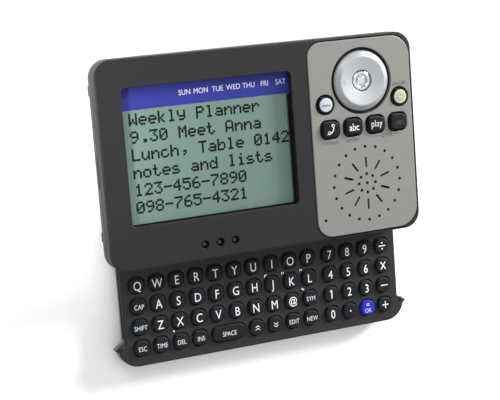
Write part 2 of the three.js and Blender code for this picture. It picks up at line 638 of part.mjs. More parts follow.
function mainBoard() {
  const { x: middle, y: height, w: width, h: depth, radius, bottom, top } = MAIN_BOARD;
  const board = plate(roundedShape(middle, height, width, depth, radius), bottom, top, 3);
  return join(board, ...CHIPS.map(({ x, y, w, h, t }) => box(x - w / 2, x + w / 2, y - h / 2,
    y + h / 2, top - 0.1, top + t)));
}

// Board under the controls: snap domes for the function keys and notched seats for the gimbal.
function buttonBoard() {
  const { x, y, w, h, radius, t } = CONTROL_BOARD;
  const board = plate(roundedShape(x, y, w, h, radius), BOARD_TOP_Z - t, BOARD_TOP_Z, 3);
  const domes = FUNCTION_PLACES.map((i) => post(functionKeyX(i), FUNCTION_KEY.y, DOME.radius,
    BOARD_TOP_Z - 0.1, BOARD_TOP_Z + DOME.t, 10));
  const { halfW, near, far, top } = GIMBAL_SEAT;
  const halfNotch = GIMBAL.pin + GAP;
  const seats = SIDES.map((side) => {
    const [y0, y1] = [near, far].map((r) => NAV.y + side * r).sort((a, b) => a - b);
    const block = box(CONTROL_X - halfW, CONTROL_X + halfW, y0, y1, BOARD_TOP_Z - 0.1, top);
    return cut(block, box(CONTROL_X - halfNotch, CONTROL_X + halfNotch, y0 - 1, y1 + 1,
      GIMBAL.axisZ - GIMBAL.pin - 0.05, top + 1));
  });
  return join(board, ...domes, ...seats);
}

function lcdModule() {
  const glass = plate(screenShape(SCREEN_BORDER, SCREEN.bottom - SCREEN_BORDER,
    STRIP_BOTTOM_Y - GAP), PANEL.bottom, PANEL.top, 3);
  const { left, right, bottom, t } = PANEL_TAB;
  return join(glass, box(left, right, bottom, SCREEN.bottom, PANEL.bottom, PANEL.bottom + t));
}

function weekdayStrip() {
  return plate(screenShape(SCREEN_BORDER, STRIP_BOTTOM_Y), STRIP_Z, PANEL.top, 3);
}

// Round speaker: a magnet, a basket that widens upwards, and a dished cone.
function speaker() {
  const r = SPEAKER.radius;
  return turned(SPEAKER.x, SPEAKER.y, [
    [0, 12.2], [7, 12.2], [7, 13.5], [r - 1, 14.4], [r, 14.6], [r, 16.4], [r - 0.8, 16.4],
    [r - 2.4, 15.5], [4, 15.4], [3, 16.0], [0, 16.2],
  ]);
}

function lightPipe() {
  const { halfW, end, bottom, top } = LIGHT_BAR;
  const bar = box(lightX(-1) - end, lightX(1) + end, LIGHTS.y - halfW, LIGHTS.y + halfW, bottom,
    top);
  return join(bar, ...LIGHT_PLACES.map((i) => post(lightX(i), LIGHTS.y, LIGHTS.post, top - 0.1,
    FACE_Z - 0.6, 16)));
}

function cell(x0) {
  const { radius, length, nub, nubRadius, y, z } = CELL;
  return join(
    barAlongX(y, z, radius, x0, x0 + length),
    barAlongX(y, z, nubRadius, x0 + length - 0.1, x0 + length + nub, 12),
  );
}

// Contact plate at one end of the battery bay, with a spring or dimple that points at the cells.
function endContact({ side, x, radius, length }) {
  const { y, z } = CELL;
  const { t, halfW, halfH } = CONTACT;
  const backing = box(x, x + t, y - halfW, y + halfW, z - halfH, z + halfH);
  const faceX = side < 0 ? x + t - 0.1 : x - length;
  return join(backing, barAlongX(y, z, radius, faceX, faceX + length + 0.1, 12));
}

// Flat cable: along the keyboard board, out of the tray's upper end, up through the deck and
// back onto the underside of the main board.
function ribbonCable() {
  const { x, w, t, trayZ, bodyZ, start, bendStart, bendEnd, end } = RIBBON;
  const curve = new THREE.CurvePath();
  const at = (y, z) => new THREE.Vector3(0, y, z);
  const middle = (bendStart + bendEnd) / 2;
  curve.add(new THREE.LineCurve3(at(start, trayZ), at(bendStart, trayZ)));
  curve.add(new THREE.CubicBezierCurve3(at(bendStart, trayZ), at(middle, trayZ),
    at(middle, bodyZ), at(bendEnd, bodyZ)));
  curve.add(new THREE.LineCurve3(at(bendEnd, bodyZ), at(end, bodyZ)));
  const points = curve.getPoints(10);
  const shape = new THREE.Shape();
  shape.moveTo(points[0].y, points[0].z - t / 2);
  points.slice(1).forEach((p) => shape.lineTo(p.y, p.z - t / 2));
  points.toReversed().forEach((p) => shape.lineTo(p.y, p.z + t / 2));
  const geometry = new THREE.ExtrudeGeometry(shape, { depth: w, bevelEnabled: false });
  const upright = new THREE.Matrix4().makeBasis(new THREE.Vector3(0, 1, 0),
    new THREE.Vector3(0, 0, 1), new THREE.Vector3(1, 0, 0));
  geometry.applyMatrix4(upright.setPosition(x - w / 2, 0, 0));
  return solid(geometry);
}

// ---------------------------------------------------------------- the organiser

add('front_shell', frontShell(), FINISH.casing);
add('rear_shell', rearShell(), FINISH.rear);
add('mid_frame', midFrame(), FINISH.rear);
add('control_fascia', controlFascia(), FINISH.silver);
add('display_lens', plate(screenShape(SCREEN_BORDER), LENS.bottom, LENS.top, 3), FINISH.lens);
add('weekday_strip', weekdayStrip(), FINISH.strip);
add('lcd_module', lcdModule(), FINISH.lcd);
add('main_board', mainBoard(), FINISH.board);
add('button_board', buttonBoard(), FINISH.board);
add('speaker', speaker(), FINISH.speaker);
add('microphone', post(MIC.x, MIC.y, MIC.radius, MIC.bottom, CEILING_Z - GAP, 16), FINISH.steel);
add('light_pipe', lightPipe(), FINISH.clear);
add('battery_left', cell(CELL_X.left), FINISH.cell);
add('battery_right', cell(CELL_X.right), FINISH.cell);
add('contact_left', endContact(SPRING_END), FINISH.steel);
add('contact_right', endContact(DIMPLE_END), FINISH.steel);
add('battery_door', batteryDoor(), FINISH.rear);
FEET_Y.forEach((y, i) => {
  add(['foot_lower', 'foot_upper'][i], plate(footShape(y, 0), 0, BACK_Z + FOOT.depth - GAP),
    FINISH.rubber);
});
['left', 'right'].forEach((name, i) => {
  const { x, y, low, head, headTop, shank, tip } = SCREW;
  const profile = [[0, low], [head, low], [head, headTop], [shank, headTop], [shank, tip], [0, tip]];
  add(`case_screw_${name}`, turned(x * SIDES[i], y, profile, 16), FINISH.steel);
});
add('flex_cable', ribbonCable(), FINISH.ribbon);

add('nav_pivot', navPivot(), FINISH.rear);
add('nav_dial', navDial(), FINISH.dial);
add('nav_button', navButton(), FINISH.chrome);
add('menu_button', roundButton(-1), FINISH.menu);
add('power_button', roundButton(1), FINISH.power);
['call', 'spell', 'play', 'record'].forEach((name, i) => {
  add(`${name}_button`, functionKey(i), FINISH.key);
});

add('tray_base', trayBase(), FINISH.rear);
add('tray_cover', trayCover(), FINISH.casing);
add('keyboard_board', plate(roundedShape(0, TRAY_MID, KEY_BOARD.w, KEY_BOARD.h,
  KEY_BOARD.radius), KEY_BOARD.bottom, KEY_BOARD.top), FINISH.board);
add('letter_keymat', letterKeymat(), FINISH.key);

const BOTTOM_ROW = ['escape', 'time', 'delete', 'insert', 'space', null, 'page_up', 'page_down',
  'edit', 'new'];
const NUMBER_ROWS = [
  ['7', '8', '9', 'divide'],
  ['4', '5', '6', 'multiply'],
  ['1', '2', '3', 'minus'],
  ['0', 'point', 'ok', 'plus'],
];
BOTTOM_ROW.forEach((name, column) => {
  if (name) add(`key_${name}`, singleKey(column, SPACE.row), FINISH.key);
});
NUMBER_ROWS.forEach((names, row) => names.forEach((name, i) => {
  const finish = name === 'ok' ? FINISH.okKey : FINISH.key;
  add(`key_${name}`, singleKey(LETTER_COLUMNS + i, row), finish);
}));

export default organiser;
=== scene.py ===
"""Looks of the pocket organiser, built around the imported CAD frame.

Lengths are in millimetres until a mesh is made, and places come from the CAD nodes' boxes.
"""

import math

import bmesh
import bpy
from mathutils import Euler, Matrix, Vector
from mathutils.geometry import tessellate_polygon


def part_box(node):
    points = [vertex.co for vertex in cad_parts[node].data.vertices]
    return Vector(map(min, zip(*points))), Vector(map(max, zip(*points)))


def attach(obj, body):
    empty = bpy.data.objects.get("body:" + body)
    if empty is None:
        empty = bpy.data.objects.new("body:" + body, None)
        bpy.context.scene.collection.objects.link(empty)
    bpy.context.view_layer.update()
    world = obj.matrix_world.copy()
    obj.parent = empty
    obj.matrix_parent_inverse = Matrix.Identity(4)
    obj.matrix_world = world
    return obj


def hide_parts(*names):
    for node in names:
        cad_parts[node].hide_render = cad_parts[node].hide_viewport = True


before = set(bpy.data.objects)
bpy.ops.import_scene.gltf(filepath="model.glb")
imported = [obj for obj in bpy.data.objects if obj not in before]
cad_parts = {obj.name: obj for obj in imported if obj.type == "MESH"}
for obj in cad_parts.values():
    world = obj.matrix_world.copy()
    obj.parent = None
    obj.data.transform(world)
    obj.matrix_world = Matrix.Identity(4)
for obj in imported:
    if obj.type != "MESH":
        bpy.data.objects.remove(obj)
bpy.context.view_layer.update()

MM = 0.001


# ---- places taken from the frame

class Box:
    """A CAD node's place in millimetres."""

    def __init__(self, node):
        low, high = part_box(node)
        self.left, self.bottom, self.low = (c / MM for c in low)
        self.right, self.top, self.high = (c / MM for c in high)
        self.x = (self.left + self.right) / 2
        self.y = (self.bottom + self.top) / 2
        self.w = self.right - self.left
        self.h = self.top - self.bottom


FRONT = Box("front_shell")
FASCIA = Box("control_fascia")
LENS = Box("display_lens")
STRIP = Box("weekday_strip")
PANEL = Box("lcd_module")
DIAL = Box("nav_dial")
TRAY = Box("tray_cover")
TUB = Box("tray_base")
KEYMAT = Box("letter_keymat")
LIGHTS = Box("light_pipe")

GAP = 0.3
BODY_RADIUS = 6.4
LEAST_RADIUS = 3.0
FACE_Z = FRONT.high
CEILING_Z = FACE_Z - 2.0
RECESS_Z = FASCIA.low - GAP
SEAM_Z = FRONT.low - GAP
TAPER_Z = 11.1
TAPER = 0.45
BACK_Z = 0.8
DECK_Z = 9.2
REAR_FLOOR_Z = 2.4
FRONT_WALL = 1.8
REAR_WALL = 2.2
SCREEN_BORDER = 1.5
SCREEN_RADIUS = 1.6
FASCIA_RADII = (7.8, 5.5, 6.2, 7.8)
DIAL_WELL = 12.5
DIAL_FLAT = 9.2
ROUND_CAP = 2.95
ROUND_WELL = 3.9
ROUND_FLANGE = 3.7
FUNCTION_W = 8.0
FUNCTION_H = 7.1
FUNCTION_RADIUS = 2.5
FUNCTION_FLANGE = (8.8, 7.9)
CROWN = 0.1
SPEAKER = (40.5, 1.1)
SPEAKER_HOLE = 15.2
MICROPHONE = (22.2, -11.0)
MICROPHONE_HOLE = 2.0
DOT = 0.62
LIGHT_PITCH = 5.9
LIGHT_WELL = 1.5
LIGHT_POST = 0.95
PITCH_X = 7.67
PITCH_Y = 7.88
KEY_W = 5.9
KEY_H = 5.8
KEY_RADIUS = 2.3
KEY_FLANGE_W = 7.3
KEY_FLANGE_H = 7.5
HOLE_W = 6.5
HOLE_H = 6.4
HOLE_RADIUS = 2.6
SHEET = 0.4
KEY_TOP_Z = TRAY.high + 1.2
TRAVEL = 38.2
GRIP_X = 57.9
GRIP_Y = -49.0
GROOVE_X = 55.4
TUB_WELL = (108.9, 52.6)
BAY_X = 47.2
DOOR_X = 47.0
DOOR_Y = 38.4
PIP_X = 60.6
PIP_Y = (45.8, -6.8)
PIP_Z = 8.2
SCREW_X = 53.5
SCREW_Y = 45.0
PRINT = 0.03


# ---- outlines

def cornered(left, bottom, right, top, radii, steps=10, least=0.02):
    """Rectangle with a radius for each corner, from right top round to right bottom; inset draws it in."""
    corners = ((right, top, 1, 1), (left, top, -1, 1), (left, bottom, -1, -1), (right, bottom, 1, -1))

    def outline(inset=0.0):
        points = []
        for turn, ((x, y, sx, sy), radius) in enumerate(zip(corners, radii)):
            r = max(radius - inset, least)
            cx = x - sx * (inset + r)
            cy = y - sy * (inset + r)
            for i in range(steps + 1):
                angle = math.radians(90 * (turn + i / steps))
                points.append((cx + r * math.cos(angle), cy + r * math.sin(angle)))
        return points

    return outline


def oblong(left, bottom, right, top):
    return [(left, bottom), (right, bottom), (right, top), (left, top)]


def rounded(x, y, w, h, radius, steps=8):
    return cornered(x - w / 2, y - h / 2, x + w / 2, y + h / 2, (radius,) * 4, steps)


def circle(x, y, radius, steps=72):
    def outline(inset=0.0):
        r = radius - inset
        turns = (2 * math.pi * i / steps for i in range(steps))
        return [(x + r * math.cos(a), y + r * math.sin(a)) for a in turns]

    return outline


def offset_inwards(points, inset):
    """A counterclockwise outline with every side moved in by the inset."""
    moved = []
    for last, here, following in zip(points[-1:] + points, points, points[1:] + points[:1]):
        a, b = (Vector((p[1] - q[1], q[0] - p[0])).normalized()
                for p, q in ((last, here), (here, following)))
        step = (a + b) / max(1 + a.dot(b), 0.3) * inset
        moved.append((here[0] + step.x, here[1] + step.y))
    return moved


def curve(steps, *points):
    """Points of a Bezier curve through control points, without its start."""
    degree = len(points) - 1
    made = []
    for i in range(1, steps + 1):
        t = i / steps
        shares = [math.comb(degree, k) * t ** k * (1 - t) ** (degree - k) for k in range(degree + 1)]
        made.append(tuple(sum(share * p[axis] for share, p in zip(shares, points)) for axis in (0, 1)))
    return made


def tray_half(steps=10):
    """Left half of the tray in plan, from its upper end round the pointed grip to the middle."""
    side = (-56.6, -47.5)
    waist = (-59.0, -50.9)
    over = (-60.0, -49.45)
    under = (-59.95, -50.05)
    points = [(side[0], TRAY.top), side]
    points += curve(steps, side, (-58.5, -48.3), over)
    points += curve(4, over, (-60.45, -49.8), under)
    points += curve(5, under, (-59.55, -50.2), waist)
    points += curve(2 * steps, waist, (-58.6, -53.3), (-55.8, TRAY.bottom), (-51.5, TRAY.bottom))
    return points


def tray_outline(inset=0.0):
    left = tray_half()
    right = [(-x, y) for x, y in reversed(left)]
    return offset_inwards(left + right, inset)


# ---- meshes

def height_of(surface):
    """The surface as a function of x and y; it may be given as one height."""
    return surface if callable(surface) else lambda x, y: surface


def add_object(name, data):
    made = bpy.data.objects.new(name, data)
    bpy.context.scene.collection.objects.link(made)
    return made


def evaluated_mesh(holder):
    depsgraph = bpy.context.evaluated_depsgraph_get()
    return bpy.data.meshes.new_from_object(holder.evaluated_get(depsgraph))


class Skin:
    """A mesh put together from rings of points, in millimetres."""

    def __init__(self):
        self.points = []
        self.faces = []
        self.paint = []
        self.brush = 0

    def face(self, *indices):
        self.faces.append(indices)
        self.paint.append(self.brush)

    def ring(self, outline, z):
        height = height_of(z)
        start = len(self.points)
        self.points += [(x, y, height(x, y)) for x, y in outline]
        return list(range(start, len(self.points)))

    def wall(self, outline, profile):
        """Skin through rings drawn in by each inset at each height; returns the first and last ring."""
        rings = [self.ring(outline(inset), z) for inset, z in profile]
        for upper, lower in zip(rings, rings[1:]):
            for i, corner in enumerate(upper):
                self.face(lower[i - 1], lower[i], corner, upper[i - 1])
        return rings[0], rings[-1]

    def cap(self, ring, *holes):
        loops = (ring, *holes)
        flat = [i for loop in loops for i in loop]
        outlines = [[Vector((*self.points[i][:2], 0)) for i in loop] for loop in loops]
        for triangle in tessellate_polygon(outlines):
            self.face(*(flat[i] for i in triangle))

    def cap_ends(self, ends, holes=()):
        """Closes both ends of a wall around the ends of its holes' walls."""
        for i in (0, 1):
            self.cap(ends[i], *(hole[i] for hole in holes))

    def closed(self, outline, profile):
        self.cap_ends(self.wall(outline, profile))

    def solid(self, outline, low, high):
        self.closed(lambda inset: outline, [(0, high), (0, low)])

    def piece(self, name):
        mesh = bpy.data.meshes.new(name)
        mesh.from_pydata([Vector(p) * MM for p in self.points], [], self.faces)
        mesh.polygons.foreach_set("material_index", self.paint)
        work = bmesh.new()
        work.from_mesh(mesh)
        bmesh.ops.remove_doubles(work, verts=work.verts, dist=1e-7)
        bmesh.ops.dissolve_degenerate(work, edges=work.edges, dist=1e-7)
        bmesh.ops.recalc_face_normals(work, faces=work.faces)
        work.to_mesh(mesh)
        work.free()
        return add_object(name, mesh)


def quarter(steps, first=1):
    """Sines and cosines at the steps of a quarter turn."""
    turns = [math.pi / 2 * i / steps for i in range(first, steps + 1)]
    return [(math.sin(a), math.cos(a)) for a in turns]


def round_over(radius, top, steps=5):
    """Profile of a rounded edge, from a ring on the flat top down to the upright side."""
    bend = [(radius * (1 - s), top - radius * (1 - c)) for s, c in quarter(steps, 0)]
    return [(radius * 1.3, top), *bend]


def round_out(radius, top, steps):
    """Profile of a hole's rounded edge, which widens towards the flat top."""
    return [(-inset, z) for inset, z in round_over(radius, top, steps)]


def round_under(radius, low, steps=4):
    """Profile of a rounded edge, from the upright side down to the flat underside."""
    return [(inset, 2 * low - z) for inset, z in reversed(round_over(radius, low, steps))]


def smooth(piece, angle):
    piece.data.shade_smooth()
    piece.data.set_sharp_from_angle(angle=math.radians(angle))


def soften(piece, angle=32):
    """Smooth shading that keeps edges sharper than the angle, with flats kept flat."""
    smooth(piece, angle)
    piece.modifiers.new("flats", "WEIGHTED_NORMAL").keep_sharp = True
    return piece


def carve(piece, cutters, operation="DIFFERENCE"):
    """Applies boolean cuts, and removes the cutters."""
    for cutter in cutters:
        step = piece.modifiers.new("carve", "BOOLEAN")
        step.operation = operation
        step.solver = "EXACT"
        step.object = cutter
    carved = evaluated_mesh(piece)
    piece.modifiers.clear()
    piece.data = carved
    for cutter in cutters:
        bpy.data.objects.remove(cutter)


def prism(outline, low, high):
    skin = Skin()
    skin.solid(outline, low, high)
    return skin.piece("cutter")


def block(x0, x1, y0, y1, low, high):
    return prism(oblong(x0, y0, x1, y1), low, high)


def turned(skin, x, y, profile, steps=96):
    """Adds a solid of revolution; the profile is a closed list of (radius, z)."""
    rings = []
    for radius, z in profile:
        if radius < 1e-6:
            skin.points.append((x, y, z))
            rings.append([len(skin.points) - 1])
        else:
            rings.append(skin.ring(circle(x, y, radius, steps)(), z))
    for upper, lower in zip(rings, rings[1:] + rings[:1]):
        for i in range(steps):
            corners = [ring[(i + k) % len(ring)] for ring, k in
                       ((upper, 0), (upper, 1), (lower, 1), (lower, 0))]
            corners = list(dict.fromkeys(corners))
            if len(corners) > 2:
                skin.face(*corners)


# ---- lettering and marks

FONT_HEIGHT = 0.729


def letter(skin, text, x, y, height, surface, squeeze, weight=0, brush=1):
    """Prints a text on a surface, given as a height or a function of x and y, with its middle at (x, y)."""
    letters = bpy.data.curves.new("letters", "FONT")
    letters.body = text
    letters.align_x = "CENTER"
    letters.extrude = 0.5
    letters.offset = weight
    letters.resolution_u = 4
    holder = add_object("letters", letters)
    mesh = evaluated_mesh(holder)
    bpy.data.objects.remove(holder)
    scale = height / FONT_HEIGHT
    lie = height_of(surface)
    start = len(skin.points)
    for vertex in mesh.vertices:
        a = x + vertex.co.x * scale * squeeze
        b = y + vertex.co.y * scale - height / 2
        skin.points.append((a, b, lie(a, b) + (PRINT if vertex.co.z > 0 else -PRINT)))
    skin.brush = brush
    for polygon in mesh.polygons:
        skin.face(*(start + i for i in polygon.vertices))
    skin.brush = 0
    bpy.data.meshes.remove(mesh)


def stroke(skin, line, width, surface, brush=1):
    """Prints a line of the given width through points."""
    lie = height_of(surface)
    line = [Vector(p) for p in line]
    left = []
    right = []
    for i, p in enumerate(line):
        ahead = (line[min(i + 1, len(line) - 1)] - p).normalized()
        behind = (p - line[max(i - 1, 0)]).normalized()
        along = (ahead + behind).normalized()
        side = Vector((-along.y, along.x))
        reach = width / 2 / max(along.dot(ahead) if ahead.length else 1, 0.5)
        left.append(p + side * reach)
        right.append(p - side * reach)
    outline = [tuple(p) for p in left + right[::-1]]
    skin.brush = brush
    top = skin.ring(outline, lambda a, b: lie(a, b) + PRINT)
    bottom = skin.ring(outline, lambda a, b: lie(a, b) - PRINT)
    count = len(outline)
    for i in range(count):
        skin.face(top[i - 1], top[i], bottom[i], bottom[i - 1])
    for i in range(len(line) - 1):
        other = count - 1 - i
        skin.face(top[i], top[i + 1], top[other - 1], top[other])
        skin.face(bottom[i], bottom[other], bottom[other - 1], bottom[i + 1])
    skin.brush = 0


def arc(x, y, radius, start, end, steps=16):
    turns = (math.radians(start + (end - start) * i / steps) for i in range(steps + 1))
    return [(x + radius * math.cos(a), y + radius * math.sin(a)) for a in turns]


def dot(skin, x, y, radius, surface):
    lie = height_of(surface)
    skin.brush = 1
    skin.solid(circle(x, y, radius, 20)(), lambda a, b: lie(a, b) - PRINT, lambda a, b: lie(a, b) + PRINT)
    skin.brush = 0


# ---- materials

class Finish:
    """A material built from nodes around one Principled shader, in object coordinates."""

    def __init__(self, name, color, roughness, metallic=0.0, specular=0.5):
        self.material = bpy.data.materials.new(name)
        self.material.use_nodes = True
        self.tree = self.material.node_tree
        self.shader = self.tree.nodes["Principled BSDF"]
        self.place = self.tree.nodes.new("ShaderNodeTexCoord").outputs["Object"]
        self.color = color
        self.set("Base Color", (*color, 1))
        self.set("Roughness", roughness)
        self.set("Metallic", metallic)
        self.set("Specular IOR Level", specular)
        self.normal = None

    def set(self, socket, value):
        self.feed(self.shader.inputs[socket], value)

    def feed(self, socket, value):
        if isinstance(value, bpy.types.NodeSocket):
            self.tree.links.new(value, socket)
        else:
            socket.default_value = value

    def node(self, kind, **inputs):
        made = self.tree.nodes.new("ShaderNode" + kind)
        for name, value in inputs.items():
            self.feed(made.inputs[name.replace("_", " ")], value)
        return made

    def noise(self, size, detail=3.0, stretch=(1, 1, 1), rough=0.55):
        """Cloudy pattern whose features are about this many millimetres across."""
        place = self.node("Mapping", Vector=self.place, Scale=stretch).outputs[0]
        return self.node("TexNoise", Vector=place, Scale=1 / (size * MM), Detail=detail,
                         Roughness=rough).outputs[0]

    def remap(self, value, from_low, from_high, to_low, to_high):
        return self.node("MapRange", Value=value, From_Min=from_low, From_Max=from_high,
                         To_Min=to_low, To_Max=to_high).outputs[0]

    def blend(self, factor, first, second):
        made = self.node("Mix")
        made.data_type = "RGBA"
        for index, value in ((0, factor), (6, first), (7, second)):
            self.feed(made.inputs[index], value)
        return made.outputs[2]

    def vary_color(self, *layers):
        """Each layer is (pattern, low, high, factor): the colour changes where the pattern is high."""
        shown = (*self.color, 1)
        for pattern, low, high, factor in layers:
            layer = (*(min(c * factor, 1.0) for c in self.color), 1)
            shown = self.blend(self.remap(pattern, low, high, 0, 1), shown, layer)
        self.set("Base Color", shown)

    def vary_roughness(self, pattern, low, high, rough_low, rough_high):
        self.set("Roughness", self.remap(pattern, low, high, rough_low, rough_high))

    def bump(self, pattern, depth, strength=1.0):
        """Raises the pattern's high places by a depth in millimetres."""
        made = self.node("Bump", Height=pattern, Distance=depth * MM, Strength=strength)
        if self.normal:
            self.feed(made.inputs["Normal"], self.normal)
        self.normal = made.outputs[0]
        self.set("Normal", self.normal)


def worn(name, color, roughness, layers, uneven, bumps, metallic=0.0, specular=0.5):
    """A finish from noise layers, each (noise, low, high, colour factor).

    Uneven is (layer, least, most) for the roughness; each bump is (layer, depth, strength).
    """
    made = Finish(name, color, roughness, metallic, specular)
    patterns = [made.noise(*noise) for noise, *_ in layers]
    made.vary_color(*((pattern, *change) for pattern, (_, *change) in zip(patterns, layers) if change))
    layer, least, most = uneven
    made.vary_roughness(patterns[layer], 0.3, 0.7, least, most)
    for layer, depth, strength in bumps:
        made.bump(patterns[layer], depth, strength)
    return made


def moulded(name, color, roughness, specular=0.35, texture=0.02):
    """Moulded plastic: faint cloudiness, mottling, spark-eroded grain and hairline scuffs."""
    layers = (((14, 4), 0.3, 0.7, 1.1), ((0.9, 3), 0.42, 0.75, 0.86), ((0.22, 2), 0.55, 0.75, 1.25),
              ((1.4, 5, (0.12, 1.6, 1), 0.7), 0.66, 0.72, 1.4375))
    return worn(name, color, roughness, layers, (1, roughness - 0.05, roughness + 0.06),
                ((2, texture, 1), (1, texture * 0.8, 0.4)), specular=specular)


def silicone(name, color, roughness, specular=0.4):
    """Moulded silicone key: satin skin, dusty patches and a soft sheen."""
    layers = (((2.6, 4), 0.4, 0.75, 1.35), ((0.16, 2), 0.5, 0.8, 0.8))
    made = worn(name, color, roughness, layers, (0, roughness - 0.06, roughness + 0.08),
                ((1, 0.008, 1),), specular=specular)
    made.set("Sheen Weight", 0.12)
    made.set("Sheen Roughness", 0.4)
    return made


def ink(name, color, roughness=0.5, specular=0.3):
    """Screen-printed ink with thin places."""
    return worn(name, color, roughness, (((0.35, 3), 0.55, 0.85, 0.88),),
                (0, roughness - 0.05, roughness + 0.08), ((0, 0.004, 1),), specular=specular)


def metal(name, color, roughness, brushed=(1, 1, 1), depth=0.003):
    """Bare or plated metal with stains, and fine marks along one direction."""
    layers = (((3.5, 3), 0.35, 0.75, 0.88), ((0.6, 6, brushed, 0.7),))
    return worn(name, color, roughness, layers, (1, roughness * 0.75, roughness * 1.3),
                ((1, depth, 1),), metallic=1.0)


def painted_silver(name, color, roughness, metallic, fleck_size=0.14):
    """Silver paint: cloudy coat, metal flecks and fine orange peel."""
    layers = (((9, 4), 0.3, 0.7, 0.95), ((fleck_size, 1, (1, 1, 1), 0.9), 0.5, 0.85, 1.22),
              ((0.7, 2), 0.5, 0.8, 0.94))
    return worn(name, color, roughness, layers, (1, roughness - 0.06, roughness + 0.1),
                ((2, 0.006, 1), (1, 0.003, 0.5)), metallic)


def pearl(name, color, roughness):
    """Glossy cap with a soft glow under its skin."""
    made = worn(name, color, roughness, (((1.8, 3), 0.35, 0.7, 0.94), ((0.12, 1), 0.6, 0.8, 1.12)),
                (0, roughness - 0.04, roughness + 0.05), ((1, 0.002, 1),))
    made.set("Coat Weight", 0.3)
    made.set("Subsurface Weight", 0.15)
    made.set("Subsurface Radius", (0.0012, 0.0012, 0.0012))
    return made


def clear_plastic(name, color, alpha, edge_alpha):
    """Clear acrylic: see-through when faced, more mirror-like at a slant, with faint smears."""
    made = worn(name, color, 0.06, (((11, 4, (0.4, 1.6, 1)), 0.5, 0.8, 0.96),), (0, 0.05, 0.14),
                ((0, 0.002, 1),))
    slant = made.node("LayerWeight", Blend=0.5).outputs["Facing"]
    made.set("Alpha", made.remap(slant, 0.4, 1.0, alpha, edge_alpha))
    return made


CASING = moulded("casing", (0.011, 0.0112, 0.0125), 0.5, 0.27)
# Warm light grey for the tray tub's outer side wall: painted reflection of the bright floor, not the
# plastic's own colour.
TUB_SIDE_PAINTED_REFLECTION = moulded("tub_side_painted_reflection", (0.16, 0.154, 0.138), 0.45, 0.5, texture=0.01)
REAR_CASING = moulded("rear_casing", (0.014, 0.014, 0.0145), 0.5, 0.55, texture=0.03)
TRAY_PLASTIC = moulded("tray_plastic", (0.014, 0.0142, 0.0142), 0.55, 0.3)
SILVER = painted_silver("fascia_silver", (0.2, 0.198, 0.184), 0.46, 0.2)
DIAL_SILVER = painted_silver("dial_silver", (0.385, 0.4, 0.415), 0.4, 0.4, 0.09)
CHROME = metal("button_chrome", (0.8, 0.82, 0.85), 0.1, depth=0.0006)
STEEL = metal("steel", (0.46, 0.46, 0.45), 0.32, (0.2, 2, 1))
NICKEL = metal("contact_metal", (0.62, 0.6, 0.55), 0.28, (2, 0.2, 1))
KEY_RUBBER = silicone("key_rubber", (0.005, 0.007, 0.0095), 0.5, 0.17)
FUNCTION_BLACK = silicone("function_black", (0.004, 0.005, 0.007), 0.5, 0.16)
OK_BLUE = silicone("ok_key", (0.009, 0.016, 0.42), 0.45, 0.2)
FOOT_RUBBER = silicone("foot_rubber", (0.008, 0.008, 0.0085), 0.75, 0.2)
SPEAKER_BLACK = silicone("speaker_black", (0.004, 0.004, 0.004), 0.8, 0.1)
KEY_INK = ink("key_ink", (0.7, 0.72, 0.77))
GREY_INK = ink("grey_ink", (0.07, 0.07, 0.08))
RED_INK = ink("red_ink", (0.09, 0.012, 0.011))
LCD_INK = ink("lcd_segments", (0.002, 0.005, 0.005), 0.5, 0.1)
# Darker copy of the display's green: painted shade for a band along the screen's right edge.
LCD_PAINTED_EDGE_SHADE = ink("lcd_painted_edge_shade", (0.057, 0.085, 0.073), 0.5, 0.1)
MASK_INK = ink("screen_mask", (0.0015, 0.0015, 0.0015), 0.7, 0.1)
DIAL_INK = ink("dial_mark", (0.2, 0.21, 0.22), 0.4)
STRIP_INK = ink("strip_ink", (0.66, 0.66, 0.72))
GREEN_INK = ink("green_ink", (0.13, 0.27, 0.08))
BOARD = moulded("circuit_board", (0.015, 0.12, 0.05), 0.35, 0.5, 0.01)
JACKET = moulded("battery_jacket", (0.03, 0.16, 0.1), 0.3, 0.5, 0.004)
AMBER = moulded("ribbon", (0.42, 0.15, 0.03), 0.35, 0.5, 0.004)
MENU_WHITE = pearl("menu_white", (0.44, 0.465, 0.49), 0.28)
POWER_CREAM = pearl("power_cream", (0.42, 0.46, 0.36), 0.3)
GREEN_ENAMEL = pearl("power_green", (0.27, 0.41, 0.19), 0.3)
LCD = worn("lcd", (0.132, 0.201, 0.175), 0.4,
           (((16, 3), 0.3, 0.7, 1.066), ((0.25, 2, (1, 1, 1), 0.8), 0.45, 0.8, 0.924)),
           (1, 0.32, 0.45), ((1, 0.004, 1),), specular=0.15)
FILM = worn("weekday_strip", (0.023, 0.028, 0.22), 0.45,
            (((9, 3), 0.3, 0.7, 1.06), ((0.3, 3), 0.5, 0.8, 0.95)),
            (1, 0.34, 0.48), ((1, 0.004, 1),), specular=0.12)
CLEAR = clear_plastic("display_lens", (0.5, 0.52, 0.52), 0.006, 0.4)
SMOKE = clear_plastic("light_pipe", (0.03, 0.03, 0.033), 0.9, 0.98)


def dress(piece, *finishes):
    slots = piece.data.materials
    for i, finish in enumerate(finishes):
        if i < len(slots):
            slots[i] = finish.material
        else:
            slots.append(finish.material)
    return piece


def stand_for(piece, node, body, slot, *finishes):
    """The piece replaces the CAD node, rides on its body and takes its finishes."""
    dress(piece, *finishes)
    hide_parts(node)
    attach(piece, body)


def place_skin(skin, name, node, body, slot, *finishes, angle=32):
    """Makes a smooth piece of the skin, which stands for the CAD node."""
    stand_for(soften(skin.piece(name), angle), node, body, slot, *finishes)


# ---- main body

